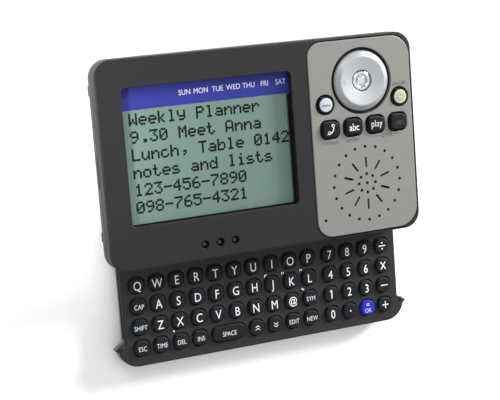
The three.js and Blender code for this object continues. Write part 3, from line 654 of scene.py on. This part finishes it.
SCREEN = (LENS.left + SCREEN_BORDER, LENS.bottom + SCREEN_BORDER,
          LENS.right - SCREEN_BORDER, LENS.top - SCREEN_BORDER)
body_outline = cornered(FRONT.left, FRONT.bottom, FRONT.right, FRONT.top, (BODY_RADIUS,) * 4, 14,
                        LEAST_RADIUS)
fascia_outline = cornered(FASCIA.left, FASCIA.bottom, FASCIA.right, FASCIA.top, FASCIA_RADII, 14)
screen_outline = cornered(*SCREEN, (SCREEN_RADIUS,) * 4, 6)
ROUND_BUTTONS = (("menu", MENU_WHITE), ("power", POWER_CREAM))
FUNCTIONS = ("call", "spell", "play", "record")


def light_x(i):
    return LIGHTS.x + (i - 1) * LIGHT_PITCH


def button_holes(round_radius, round_steps, grow, corner_steps):
    """Outlines of the openings for the two round and the four square buttons."""
    for name, _ in ROUND_BUTTONS:
        cap = Box(f"{name}_button")
        yield circle(cap.x, cap.y, round_radius, round_steps)
    for name in FUNCTIONS:
        cap = Box(f"{name}_button")
        yield rounded(cap.x, cap.y, FUNCTION_W + grow, FUNCTION_H + grow, FUNCTION_RADIUS + grow / 2,
                      corner_steps)


def build_front_shell():
    skin = Skin()
    side = [(0, FRONT.low + 0.15), (0.15, FRONT.low)]
    rim, foot = skin.wall(body_outline, round_over(0.65, FACE_Z) + side)
    skin.cap(foot, skin.ring(body_outline(FRONT_WALL), FRONT.low))
    _, ceiling = skin.wall(body_outline, [(FRONT_WALL, FRONT.low), (FRONT_WALL, CEILING_Z)])
    screen_top, screen_foot = skin.wall(screen_outline, round_out(0.3, FACE_Z, 4) + [(0, CEILING_Z)])
    recess_top, recess_foot = skin.wall(fascia_outline, [(-GAP - 0.12, FACE_Z), (-GAP, FACE_Z - 0.12),
                                                         (-GAP, RECESS_Z)])
    lip = [(-0.15, FACE_Z), (0, FACE_Z - 0.15), (0, CEILING_Z)]
    wells = [skin.wall(circle(light_x(i), LIGHTS.y, LIGHT_WELL, 40), lip) for i in range(3)]
    openings = [circle(DIAL.x, DIAL.y, DIAL_FLAT), circle(*SPEAKER, SPEAKER_HOLE),
                circle(*MICROPHONE, MICROPHONE_HOLE, 24), *button_holes(ROUND_CAP + GAP, 40, 0, 8)]
    holes = [skin.wall(opening, [(0, RECESS_Z), (0, CEILING_Z)]) for opening in openings]
    skin.cap(rim, screen_top, recess_top, *(top for top, _ in wells))
    skin.cap(recess_foot, *(upper for upper, _ in holes))
    skin.cap(ceiling, screen_foot, *(foot for _, foot in wells), *(lower for _, lower in holes))
    place_skin(skin, "front_casing", "front_shell", "body", "casing", CASING)


def slot_outline(x, y, angle, length=4.1, width=0.82, steps=5):
    """Radial slot with round ends."""
    half = (length - width) / 2
    points = []
    for along, start in ((half, math.degrees(angle) - 90), (-half, math.degrees(angle) + 90)):
        points += arc(x + along * math.cos(angle), y + along * math.sin(angle), width / 2, start,
                      start + 180, steps)
    return points


def around(count, radius, x, y):
    for i in range(count):
        angle = math.pi / 2 + 2 * math.pi * i / count
        yield x + radius * math.cos(angle), y + radius * math.sin(angle), angle


def build_fascia():
    skin = Skin()
    top = FASCIA.high
    sides = skin.wall(fascia_outline, round_over(0.3, top, 4) + [(0, FASCIA.low)])
    lip = [(-0.14, top), (-0.04, top - 0.05), (0, top - 0.14), (0, FASCIA.low)]
    openings = [circle(DIAL.x, DIAL.y, DIAL_WELL), *button_holes(ROUND_WELL, 56, GAP, 10)]
    holes = [skin.wall(opening, lip) for opening in openings]
    dots = [*around(20, 14.0, *SPEAKER), *around(8, 3.5, *SPEAKER), (*SPEAKER, 0), (*MICROPHONE, 0)]
    small = [circle(x, y, DOT, 16)() for x, y, _ in dots]
    small += [slot_outline(x, y, angle) for x, y, angle in around(10, 8.0, *SPEAKER)]
    holes += [skin.wall(lambda inset, hole=hole: hole, [(0, top), (0, FASCIA.low)]) for hole in small]
    skin.cap_ends(sides, holes)
    print_fascia(skin, top)
    place_skin(skin, "control_panel", "control_fascia", "body", "fascia_silver", SILVER, GREY_INK)


def print_fascia(skin, top):
    call, spell, play, record = (Box(f"{name}_button") for name in FUNCTIONS)
    power = Box("power_button")
    word_y = call.bottom - 1.1
    middle = (play.x + record.x) / 2
    letter(skin, "contact", call.x - 0.5, word_y + 0.35, 1.65, top, 1.05)
    letter(skin, "speller", spell.x - 0.25, word_y + 0.5, 1.65, top, 0.95)
    letter(skin, "DVR", middle, word_y + 0.7, 1.8, top, 0.95)
    letter(skin, "on/off", power.x, power.y + 5.1, 1.6, top, 1.05)
    for side in (-1, 1):
        stroke(skin, [(middle + side * 2.8, word_y + 0.5), (middle + side * 5.6, word_y + 0.5)], 0.2, top)


# ---- controls

def dish_height(r):
    """Height of the dial's dished face at a distance from its middle."""
    return DIAL.high - 1.2 + 1.18 * (r / (DIAL_FLAT - 0.4)) ** 1.5


def build_dial():
    skin = Skin()
    x, y = DIAL.x, DIAL.y
    rim_low = 18.1
    outer = 11.25
    flat = DIAL_FLAT
    top = DIAL.high
    bore = 4.05
    profile = [(bore, 16.2), (5.0, 16.2), (5.0, 15.2), (5.5, 15.2), (5.5, rim_low), (outer - 0.15, rim_low),
               (outer, rim_low + 0.15), (outer, rim_low + 0.5), (outer - 0.1, rim_low + 0.8),
               (outer - 0.4, rim_low + 1.1), (outer - 0.8, rim_low + 1.35),
               (flat + 0.35, top - 0.22), (flat + 0.15, top - 0.09), (flat, top - 0.03), (flat - 0.18, top),
               (flat - 0.4, top - 0.02)]
    profile += [(r, dish_height(r)) for r in (8, 7, 6, 5.2)]
    profile += [(bore + 0.35, dish_height(bore)), (bore + 0.14, dish_height(bore) - 0.02),
                (bore, dish_height(bore) - 0.14)]
    turned(skin, x, y, profile, 128)

    def dish(a, b):
        return dish_height(math.hypot(a - x, b - y))

    for turn in range(4):
        angle = math.radians(90 * turn)
        tip = Vector((math.cos(angle), math.sin(angle)))
        side = Vector((-tip.y, tip.x))
        centre = Vector((x, y)) + tip * 7.7
        mark = [centre - tip * 0.5 + side * 0.75, centre + tip * 0.25, centre - tip * 0.5 - side * 0.75]
        stroke(skin, [tuple(p) for p in mark], 0.28, dish, brush=1 if turn == 2 else 0)
    for side in (-1, 1):
        add_pin(skin, x + side * 5.3, x + side * 7.7, y, 15.9)
    place_skin(skin, "tilt_dial", "nav_dial", "nav_ring", "dial_silver", DIAL_SILVER, DIAL_INK, angle=40)


def add_pin(skin, first, last, y, z, radius=0.45, steps=16):
    """Round pin along X."""
    rings = []
    for x in (first, last):
        rings.append(range(len(skin.points), len(skin.points) + steps))
        skin.points += [(x, *point) for point in circle(y, z, radius, steps)()]
    for i in range(steps):
        skin.face(rings[0][i - 1], rings[0][i], rings[1][i], rings[1][i - 1])
    for ring in rings:
        skin.face(*ring)


def build_centre_button():
    skin = Skin()
    high = Box("nav_button").high
    r = 3.75
    profile = [(0, 15.5), (4.7, 15.5), (4.7, 15.9), (r, 15.9), (r, high - 0.6), (r - 0.08, high - 0.35),
               (r - 0.3, high - 0.14), (r - 0.65, high - 0.02), (r - 0.95, high), (r - 1.25, high - 0.06),
               (r - 1.45, high - 0.24), (r - 1.55, high - 0.5), (r - 1.6, high - 1.3),
               (r - 2.05, high - 1.35), (r - 2.1, high - 0.75), (r - 2.3, high - 0.5),
               (1.0, high - 0.45), (0.5, high - 0.43), (0, high - 0.42)]
    turned(skin, DIAL.x, DIAL.y, profile, 96)
    place_skin(skin, "dial_centre_button", "nav_button", "nav_centre", "button_chrome", CHROME, angle=50)


def build_round_buttons():
    inlay = 2.6
    for name, finish in ROUND_BUTTONS:
        place = Box(f"{name}_button")
        x, y = place.x, place.y
        top = place.high
        skin = Skin()

        def dome(a, b, x=x, y=y, top=top):
            return top - 0.16 * (math.hypot(a - x, b - y) / inlay) ** 2

        body = [(0, place.low), (ROUND_FLANGE, place.low), (ROUND_FLANGE, place.low + 0.8),
                (ROUND_CAP, place.low + 0.8), (ROUND_CAP, top - 0.8)]
        body += [(ROUND_CAP - 0.3 * (1 - c), top - 0.8 + 0.3 * s) for s, c in quarter(5)]
        body += [(inlay - 0.3, top - 0.5), (0, top - 0.5)]
        turned(skin, x, y, body, 64)
        skin.brush = 1
        disc = [(0, top - 0.6), (inlay, top - 0.6), (inlay, top - 0.36)]
        disc += [(inlay - 0.2 * (1 - c), top - 0.36 + 0.2 * s) for s, c in quarter(4)]
        disc += [(r, dome(x + r, y)) for r in (1.8, 1.2, 0.6, 0)]
        turned(skin, x, y, disc, 64)
        if name == "menu":
            letter(skin, "menu", x, y, 1.35, dome, 0.85, brush=2)
            slot = "menu_white"
            marks = (GREY_INK,)
        else:
            skin.brush = 2
            skin.solid(circle(x, y, 1.8, 48)(), lambda a, b: dome(a, b) - PRINT,
                       lambda a, b: dome(a, b) + PRINT / 2)
            stroke(skin, arc(x, y, 1.05, 120, 420, 28), 0.3, dome, brush=3)
            stroke(skin, [(x, y + 0.2), (x, y + 1.25)], 0.3, dome, brush=3)
            slot = "power_green"
            marks = (GREEN_ENAMEL, GREEN_INK)
        finishes = (FUNCTION_BLACK, finish, *marks)
        place_skin(skin, f"{name}_cap", f"{name}_button", name, slot, *finishes, angle=50)


def pillow(skin, outline_of, x, y, w, h, low, top, edge, draft):
    """A soft-edged cap with a slightly crowned top and drafted sides; returns the crown's height."""
    def surface(a, b):
        return top - CROWN * (((a - x) / (w / 2)) ** 2 + ((b - y) / (h / 2)) ** 2) / 2

    flat = draft + edge
    reach = min(w, h) / 2 - flat
    profile = [(flat + reach * share, surface) for share in (0.62, 0.35, 0.15)]
    for s, c in quarter(6, 0):
        drop = edge * 0.75 * (1 - c)
        profile.append((draft + edge * (1 - s), lambda p, q, drop=drop: surface(p, q) - drop))
    skin.closed(outline_of, profile + [(0, low)])
    return surface


# Word of a function key: shift right and up, height, squeeze, weight and ink.
FUNCTION_WORDS = {
    "spell": ("abc", 0, 0.1, 2.7, 0.82, 0.01, KEY_INK),
    "play": ("play", 0, 0.5, 2.7, 0.82, -0.008, KEY_INK),
    "record": ("rec", 0.3, 0.1, 2.4, 0.85, 0.02, RED_INK),
}


def build_function_keys():
    w = FUNCTION_W - 2 * GAP
    h = FUNCTION_H - 2 * GAP
    for name in FUNCTIONS:
        place = Box(f"{name}_button")
        x, y = place.x, place.y
        skin = Skin()
        outline = rounded(x, y, w, h, FUNCTION_RADIUS - GAP, 9)
        top = pillow(skin, outline, x, y, w, h, place.low + 0.4, place.high, 0.4, 0.45)
        skin.solid(rounded(x, y, *FUNCTION_FLANGE, 2.9, 6)(), place.low, place.low + 0.8)
        finish = KEY_INK
        if name in FUNCTION_WORDS:
            word, right, up, height, squeeze, weight, finish = FUNCTION_WORDS[name]
            letter(skin, word, x + right, y + up, height, top, squeeze, weight)
        else:
            print_handset(skin, x, y, top)
        place_skin(skin, f"{name}_key", f"{name}_button", name, "function_black", FUNCTION_BLACK, finish,
                   angle=40)


def print_handset(skin, x, y, top):
    ear = (x + 0.95, y + 1.2)
    stroke(skin, [ear, *curve(10, ear, (x + 0.9, y - 0.9), (x - 0.6, y - 1.35))], 0.36, top)
    for a, b in ((x + 0.75, y + 1.55), (x - 0.85, y - 1.1)):
        stroke(skin, arc(a, b, 0.5, 20, 380, 14), 0.26, top)
    stroke(skin, [(x - 1.3, y - 1.35), (x - 1.75, y - 1.7)], 0.26, top)


# ---- screen

CELLS = {
    "0": "0E11131519110E", "1": "040C040404040E", "2": "0E11010204081F", "3": "1F02040201110E",
    "4": "02060A121F0202", "5": "1F101E0101110E", "6": "0608101E11110E", "7": "1F010204080808",
    "8": "0E11110E11110E", "9": "0E11110F01020C", "-": "0000001F000000", ",": "00000000060204",
    ".": "00000000000606", "A": "0E1111111F1111", "L": "1010101010101F", "M": "111B1515111111",
    "P": "1E11111E101010", "T": "1F040404040404", "W": "11111115151B11", "a": "00000E010F110F",
    "b": "1010161911111E", "c": "00000E1010110E", "d": "01010D1311110F", "e": "00000E111F100E",
    "h": "10101619111111", "i": "04000C0404040E", "k": "10101214181412", "l": "0C04040404040E",
    "n": "00001619111111", "o": "00000E1111110E", "r": "00001619101010", "s": "00000E100E011E",
    "t": "08081C08080906", "u": "0000111111130D", "y": "001111110F010E", " ": "00000000000000",
}
LINES = ("Weekly Planner", "9.30 Meet Anna", "Lunch, Table 0142", "notes and lists", "123-456-7890",
         "098-765-4321")
CELL_PITCH = 0.606
CHARACTER_PITCH = CELL_PITCH * 6
LINE_PITCH = 6.3
WEEKDAYS = (("SUN", -28.55), ("MON", -22.3), ("TUE", -15.8), ("WED", -9.65), ("THU", -3.55), ("FRI", 2.7),
            ("SAT", 9.15))


def screen_text(skin, z):
    """Dark square cells of the display's characters; each character is seven lines of five cells."""
    start_x = SCREEN[0] + 2.9
    base_y = STRIP.bottom - 5.8
    side = CELL_PITCH * 1.25
    places = [(row, column, line, cell) for row, words in enumerate(LINES) for column in range(len(words))
              for line in range(7) for cell in range(5)]
    for row, column, line, cell in places:
        code = CELLS[LINES[row][column]]
        if int(code[2 * line:2 * line + 2], 16) & (16 >> cell):
            x = start_x + column * CHARACTER_PITCH + cell * CELL_PITCH
            y = base_y - row * LINE_PITCH + (6 - line) * CELL_PITCH
            layer = 0.02 + 0.01 * ((cell + line) % 2)
            skin.solid(oblong(x, y, x + side, y + side), z - layer, z + layer)


def build_screen():
    skin = Skin()
    edge = 0.15
    pane = cornered(PANEL.left, SCREEN[1] - SCREEN_BORDER, PANEL.right, PANEL.top, (1.6,) * 4, 6)
    skin.closed(pane, [(edge, PANEL.high), (0, PANEL.high - edge), (0, PANEL.low)])
    skin.solid(oblong(-40, -6.4, 0, -3.2), PANEL.low, PANEL.low + 1.1)
    skin.brush = 1
    screen_text(skin, PANEL.high)
    left, low, right, _ = SCREEN
    mask_x = right - 0.55
    mask_y = low + 0.45
    height = PANEL.top - 0.1
    skin.brush = 2
    skin.solid([(left - 1, low - 1), (right + 1, low - 1), (right + 1, height), (mask_x, height),
                (mask_x, mask_y), (left - 1, mask_y)], PANEL.high - PRINT, PANEL.high + 0.04)
    # Band 0.5 mm wide just inside the black border on the right: painted shade of the screen's rim.
    skin.brush = 3
    skin.solid(oblong(mask_x - 0.5, mask_y, mask_x, height), PANEL.high - PRINT, PANEL.high + PRINT / 2)
    place_skin(skin, "display_panel", "lcd_module", "body", "lcd", LCD, LCD_INK, MASK_INK, LCD_PAINTED_EDGE_SHADE)

    skin = Skin()
    film = cornered(STRIP.left, STRIP.bottom - 0.28, STRIP.right, STRIP.top, (1.2,) * 4, 6)
    skin.closed(film, [(0.1, STRIP.high), (0, STRIP.high - 0.1), (0, STRIP.low)])
    for word, x in WEEKDAYS:
        letter(skin, word, x, STRIP.bottom + 4.2, 2.0, STRIP.high, 0.88)
    place_skin(skin, "weekday_film", "weekday_strip", "body", "weekday_strip", FILM, STRIP_INK)

    skin = Skin()
    window = cornered(LENS.left, LENS.bottom, LENS.right, LENS.top, (1.6,) * 4, 6)
    edge = 0.12
    skin.closed(window, [(edge, LENS.high), (0, LENS.high - edge), (0, LENS.low + edge), (edge, LENS.low)])
    place_skin(skin, "screen_window", "display_lens", "body", "display_lens", CLEAR)


def build_light_pipe():
    skin = Skin()
    bar_top = LIGHTS.low + 1.2
    tip = 0.6
    bar = rounded(LIGHTS.x, LIGHTS.y, LIGHTS.w, LIGHTS.h, 0.5, 4)
    skin.solid(bar(), LIGHTS.low, bar_top)
    profile = [(0, bar_top - 0.1), (LIGHT_POST, bar_top - 0.1), (LIGHT_POST, LIGHTS.high - tip)]
    profile += [(LIGHT_POST * c, LIGHTS.high - tip + tip * s) for s, c in quarter(8)]
    for i in range(3):
        turned(skin, light_x(i), LIGHTS.y, profile, 40)
    place_skin(skin, "indicator_light_pipe", "light_pipe", "body", "light_pipe", SMOKE, angle=40)


# ---- keyboard tray

LETTER_ROWS = ("Q W E R T Y U I O P", "CAP A S D F G H J K L", "SHIFT Z X C V B N M @ SYM")
SHORT_WORDS = {"escape": "ESC", "delete": "DEL", "insert": "INS"}
SINGLE_KEYS = [n[len("key_"):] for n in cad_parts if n.startswith("key_")]


def bar(half, up=0.0):
    return [(-half, up), (half, up)]


def chevrons(way):
    """Two stacked angles that point up (1) or down (-1)."""
    return [(0.27, [(-0.85, up - way * 0.3), (0, up + way * 0.32), (0.85, up - way * 0.3)])
            for up in (-0.55, 0.45)]


# Strokes of the signs around a key's middle, each with its width.
SIGNS = {
    "1": [(0.36, [(-0.75, 1.0), (-0.1, 1.55)]), (0.42, [(0, -1.7), (0, 1.7)])],
    "DIVIDE": [(0.42, bar(1.45))],
    "MULTIPLY": [(0.42, [(-1.05, -1.5), (1.05, 1.5)]), (0.42, [(-1.05, 1.5), (1.05, -1.5)])],
    "MINUS": [(0.36, bar(1.5))],
    "PLUS": [(0.38, bar(1.4)), (0.38, [(0, -1.4), (0, 1.4)])],
    "POINT": [],
    "PAGE_UP": chevrons(1),
    "PAGE_DOWN": chevrons(-1),
    "OK": [(0.26, bar(0.65, 0.95)), (0.26, bar(0.65, 1.5))],
}
# Shift up, height, squeeze and weight of a legend; the last two are any letter's and any word's.
WORDS = {
    "OK": (-1.05, 1.8, 0.8, -0.008), "@": (0.2, 2.9, 0.9, 0.004),
    1: (0, 3.45, 0.82, 0), None: (-0.1, 1.85, 0.8, -0.008),
}
SIGN_DOTS = {"DIVIDE": (0.33, (-1.2, 1.2)), "POINT": (0.32, (0,))}


def legend(skin, text, x, y, surface):
    """White legend of a key: a letter, a small word or a sign."""
    for width, line in SIGNS.get(text, ()):
        stroke(skin, [(x + a, y + b) for a, b in line], width, surface)
    radius, heights = SIGN_DOTS.get(text, (0, ()))
    for up in heights:
        dot(skin, x, y + up, radius, surface)
    if text in WORDS or text not in SIGNS:
        up, height, squeeze, weight = WORDS.get(text) or WORDS.get(len(text)) or WORDS[None]
        letter(skin, text, x, y + up, height, surface, squeeze, weight)


def letter_places():
    """Legend and middle of each key in the three upper rows."""
    for row, names in enumerate(LETTER_ROWS):
        for column, text in enumerate(names.split()):
            yield (text, KEYMAT.left + KEY_FLANGE_W / 2 + column * PITCH_X,
                   KEYMAT.top - KEY_FLANGE_H / 2 - row * PITCH_Y)


def key_cap(skin, text, x, y, w, low, top):
    outline = rounded(x, y, w, KEY_H, KEY_RADIUS, 8)
    legend(skin, text, x, y, pillow(skin, outline, x, y, w, KEY_H, low + 0.2, top, 0.45, 0.2))


def build_letter_keys():
    skin = Skin()
    sheet = cornered(KEYMAT.left, KEYMAT.bottom, KEYMAT.right, KEYMAT.top, (1.0,) * 4, 4)
    skin.solid(sheet(), KEYMAT.low, KEYMAT.low + SHEET)
    for text, x, y in letter_places():
        key_cap(skin, text, x, y, KEY_W, KEYMAT.low, KEY_TOP_Z)
    place_skin(skin, "letter_keys", "letter_keymat", "tray", "key_rubber", KEY_RUBBER, KEY_INK, angle=40)


def build_single_keys():
    for name in SINGLE_KEYS:
        place = Box(f"key_{name}")
        w = place.w
        text = SHORT_WORDS.get(name, name.upper())
        skin = Skin()
        key_cap(skin, text, place.x, place.y, w - KEY_FLANGE_W + KEY_W, place.low, place.high)
        skin.solid(rounded(place.x, place.y, w, KEY_FLANGE_H, 1.6, 4)(), place.low, place.low + SHEET)
        slot, finish = ("ok_key", OK_BLUE) if name == "ok" else ("key_rubber", KEY_RUBBER)
        place_skin(skin, f"cap_{name}", f"key_{name}", f"press_{name}", slot, finish, KEY_INK, angle=40)


def key_holes():
    """Outline of each opening in the tray's face."""
    for _, x, y in letter_places():
        yield rounded(x, y, HOLE_W, HOLE_H, HOLE_RADIUS, 8)
    for name in SINGLE_KEYS:
        place = Box(f"key_{name}")
        yield rounded(place.x, place.y, place.w - KEY_FLANGE_W + HOLE_W, HOLE_H, HOLE_RADIUS, 8)


def print_tray(skin, z):
    """Small second marks beside five of the keys."""
    stroke(skin, arc(1.05, -31.2, 0.75, 70, 190, 8), 0.36, z)
    for x in (7.85, 15.55):
        for shift in (-0.34, 0.34):
            stroke(skin, [(x + shift, -30.4), (x + shift - 0.12, -31.15)], 0.3, z)
    stroke(skin, [(15.35, -38.05), (16.35, -38.7)], 0.5, z)
    dot(skin, -37.6, -45.75, 0.38, z)


def build_tray_face():
    skin = Skin()
    top = TRAY.high
    sides = skin.wall(tray_outline, round_over(0.45, top) + [(0, TRAY.low)])
    lip = round_out(0.22, top, 3) + [(0, TRAY.low)]
    skin.cap_ends(sides, [skin.wall(hole, lip) for hole in key_holes()])
    print_tray(skin, top)
    bump = [(0, top + 0.35), (0.5, top + 0.3), (0.85, top + 0.12), (1.0, top - 0.05), (0, top - 0.05)]
    for side in (-1, 1):
        turned(skin, side * GRIP_X, GRIP_Y, bump, 32)
    place_skin(skin, "tray_face", "tray_cover", "tray", "tray_plastic", TRAY_PLASTIC, KEY_INK)


def build_tray_tub():
    skin = Skin()
    # The tub's whole outer side wall takes the lighter finish, a painted reflection of the bright floor.
    skin.brush = 1
    ends = skin.wall(tray_outline, [(0.1, TUB.high), (0, TUB.high - 0.1), *round_under(0.5, TUB.low)])
    skin.brush = 0
    skin.cap_ends(ends)
    tub = dress(skin.piece("tray_tub"), REAR_CASING, TUB_SIDE_PAINTED_REFLECTION)
    over = TUB.high + 1
    well = rounded(0, (TRAY.bottom + TRAY.top) / 2 + 0.1, *TUB_WELL, 4)
    grooves = [block(*span, -46.0, TRAY.top - 2, 4.4, over) for span in ((-62, -GROOVE_X), (GROOVE_X, 62))]
    carve(tub, [prism(well(), TUB.low + 1, over), *grooves,
                block(-22, -8, TRAY.top - 3, TRAY.top + 1, 5.0, over)])
    stand_for(soften(tub), "tray_base", "tray", "tray_plastic", REAR_CASING, TUB_SIDE_PAINTED_REFLECTION)


# ---- back

def rear_form(name):
    """Outer form of the rear casing: upright at the seam, drawn in towards a flat back."""
    edge = 0.8
    profile = [(0.12, SEAM_Z), (0, SEAM_Z - 0.12), (0, TAPER_Z + 0.4), (0.04, TAPER_Z + 0.1)]
    profile += [(TAPER * (TAPER_Z - z), z) for z in (TAPER_Z - 0.4, 8, 5, 3.4, BACK_Z + edge)]
    base = TAPER * (TAPER_Z - BACK_Z - edge)
    profile += [(base + TAPER * edge * s + 0.7 * (1 - c), BACK_Z + edge * (1 - s)) for s, c in quarter(5)]
    skin = Skin()
    skin.closed(body_outline, profile)
    return skin.piece(name)


FEET = ("foot_lower", "foot_upper")


def foot_outline(node, grow=0.0):
    place = Box(node)
    h = place.h + 2 * grow
    return rounded(place.x, place.y, place.w + 2 * grow, h, h / 2 - 0.05, 10)


def pip(x, y, z, radius=1.3, half=2.2):
    """Bead with rounded ends, lying along Y on the casing's side."""
    skin = Skin()
    upper = [(radius * s, half - 0.8 * (1 - c)) for s, c in quarter(6, 0)]
    turned(skin, 0, 0, upper + [(r, -h) for r, h in reversed(upper)], 32)
    made = skin.piece("cutter")
    made.data.transform(Matrix.Translation(Vector((x, y, z)) * MM) @ Matrix.Rotation(math.pi / 2, 4, "X"))
    return made


def side_slot(side):
    """Cutter for the long thin recess below the seam on one side of the casing."""
    made = prism(rounded(17.4, 13.55, 11.4, 0.9, 0.4, 6)(), 61.9, 64.0)
    turn = Matrix(((0, 0, side, 0), (1, 0, 0, 0), (0, 1, 0, 0), (0, 0, 0, 1)))
    made.data.transform(turn)
    if side < 0:
        made.data.flip_normals()
    return made


def build_rear_shell():
    shell = rear_form("rear_casing")
    over = SEAM_Z + 1
    pocket = [(x, y + TRAVEL) for x, y in tray_outline(-GAP)]
    cutters = [
        prism(body_outline(REAR_WALL), DECK_Z - GAP, over),
        block(-56.9, 56.9, FRONT.bottom - 2, TRAY.top + TRAVEL + GAP, REAR_FLOOR_Z, DECK_Z),
        prism(pocket, REAR_FLOOR_Z, DECK_Z),
        block(-60.9, 60.9, FRONT.bottom - 2, TRAVEL - 49.7, REAR_FLOOR_Z, DECK_Z),
        block(-BAY_X, BAY_X, DOOR_Y + 0.4, 50.6, REAR_FLOOR_Z - 1, over),
        block(-DOOR_X - GAP, DOOR_X + GAP, DOOR_Y - GAP, FRONT.top + 1, 0, REAR_FLOOR_Z),
        block(-DOOR_X - 1.5, DOOR_X + 1.5, DOOR_Y - GAP, FRONT.top + 1, 1.2, REAR_FLOOR_Z),
    ]
    additions = []
    holes = []
    for side in (-1, 1):
        screw_x = side * SCREW_X
        x0, x1 = sorted((side * 55.75, side * 57.4))
        cutters += [prism(rounded(side * 53.1, SCREW_Y, 6.6, 11.4, 1.5)(), REAR_FLOOR_Z, over),
                    side_slot(side)]
        additions += [prism(circle(screw_x, SCREW_Y, 3.2, 48)(), REAR_FLOOR_Z - 0.5, 3.9),
                      block(x0, x1, -7.2, -3.4, 4.8, 5.8), *(pip(side * PIP_X, y, PIP_Z) for y in PIP_Y)]
        holes += [prism(circle(screw_x, SCREW_Y, radius, steps)(), 0, high)
                  for radius, steps, high in ((2.25, 48, 2.6), (1.2, 32, 5))]
    cutters += [prism(foot_outline(node, GAP)(), 0, 1.3) for node in FEET]
    carve(shell, cutters)
    carve(shell, additions, "UNION")
    carve(shell, holes)
    stand_for(soften(shell), "rear_shell", "body", "rear_casing", REAR_CASING)


def build_battery_door():
    door = rear_form("battery_cover")
    carve(door, [block(-DOOR_X, DOOR_X, DOOR_Y, FRONT.top + 1, 0, 2.1)], "INTERSECT")
    carve(door, [block(-DOOR_X - 1.2, DOOR_X + 1.2, DOOR_Y, 50.8, 1.5, 2.1)], "UNION")
    carve(door, [prism(rounded(0, 42.5 + i * 1.5, 20 - 1.6 * i, 0.7, 0.3, 4)(), 0, 1.15) for i in range(6)])
    stand_for(soften(door), "battery_door", "door", "rear_casing", REAR_CASING)


def build_feet():
    for node in FEET:
        place = Box(node)
        skin = Skin()
        skin.closed(foot_outline(node), [(0, place.high), *round_under(0.3, place.low)])
        place_skin(skin, f"{node}_strip", node, "body", "foot_rubber", FOOT_RUBBER)


def build_screws():
    for side in ("left", "right"):
        node = f"case_screw_{side}"
        place = Box(node)
        low = place.low
        skin = Skin()
        profile = [(0, low), (1.5, low), (1.8, low + 0.1), (1.9, low + 0.3), (1.9, low + 1.1),
                   (0.9, low + 1.1), (0.9, place.high - 0.6), (0.4, place.high), (0, place.high)]
        turned(skin, place.x, place.y, profile, 48)
        screw = skin.piece(f"screw_{side}")
        carve(screw, [block(place.x - a, place.x + a, place.y - b, place.y + b, 0, low + 0.6)
                      for a, b in ((1.2, 0.22), (0.22, 1.2))])
        stand_for(soften(screw), node, "body", "screw_steel", STEEL)


# ---- CAD nodes that stay

def dress_inside():
    finishes = (
        (REAR_CASING, "mid_frame nav_pivot"), (BOARD, "main_board button_board keyboard_board"),
        (SPEAKER_BLACK, "speaker"), (NICKEL, "microphone contact_left contact_right"),
        (JACKET, "battery_left battery_right"), (AMBER, "flex_cable"),
    )
    for finish, nodes in finishes:
        for node in nodes.split():
            smooth(dress(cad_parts[node], finish), 32)


# ---- room, light and camera

def build_room():
    skin = Skin()
    half = 2500
    skin.solid(oblong(-half, -half, half, half), -5.05, -0.05)
    floor = skin.piece("floor")
    dress(floor, worn("paper", (0.93, 0.93, 0.93), 0.85, (((6, 4), 0.3, 0.8, 0.989),), (0, 0.85, 0.85),
                      ((0, 0.02, 0.2),), specular=0.2))

    world = bpy.data.worlds.new("studio")
    world.use_nodes = True
    nodes = world.node_tree.nodes
    links = world.node_tree.links
    direction, height, level = (nodes.new(f"ShaderNode{kind}")
                                for kind in ("TexCoord", "SeparateXYZ", "MapRange"))
    level.interpolation_type = "SMOOTHSTEP"
    for name, number in (("From Min", 0.1), ("From Max", 0.85), ("To Min", 0.1), ("To Max", 0.95)):
        level.inputs[name].default_value = number
    links.new(direction.outputs["Generated"], height.inputs[0])
    links.new(height.outputs["Z"], level.inputs["Value"])
    links.new(level.outputs[0], nodes["Background"].inputs["Strength"])
    nodes["Background"].inputs["Color"].default_value = (1, 1, 1, 1)
    bpy.context.scene.world = world
    lamp("key", "AREA", (800, 430, 330), (0, 0, 0), 19, shape="DISK", size=330 * MM)
    lamp("panel", "AREA", (-330, 700, 770), (40, 40, 20), 2.6, shape="DISK", size=520 * MM)
    lamp("edge", "SPOT", (-480, 38, 320), (-105, 38, 0), 85, spot_size=math.radians(7.6), spot_blend=1.0,
         shadow_soft_size=60 * MM)


def lamp(name, kind, place, aim, watts, **settings):
    light = bpy.data.lights.new(name, kind)
    light.energy = watts
    for setting, value in settings.items():
        setattr(light, setting, value)
    holder = add_object(name, light)
    holder.location = Vector(place) * MM
    holder.rotation_euler = (Vector(aim) - Vector(place)).to_track_quat("-Z", "Y").to_euler()


def build_camera():
    data = bpy.data.cameras.new("camera")
    data.lens = 99.488
    camera = add_object("camera", data)
    camera.location = Vector((-198.18, 83.306, 479.104)) * MM
    camera.rotation_euler = Euler([math.radians(a) for a in (-7.5738, -23.1104, -4.6737)], "XYZ")
    bpy.context.scene.camera = camera
    bpy.context.scene.view_settings.view_transform = "Standard"


for build in (
    build_camera, build_room, build_front_shell, build_fascia, build_dial, build_centre_button,
    build_round_buttons, build_function_keys, build_screen, build_light_pipe, build_letter_keys,
    build_single_keys, build_tray_face, build_tray_tub, build_rear_shell, build_battery_door, build_feet,
    build_screws, dress_inside,
):
    build()
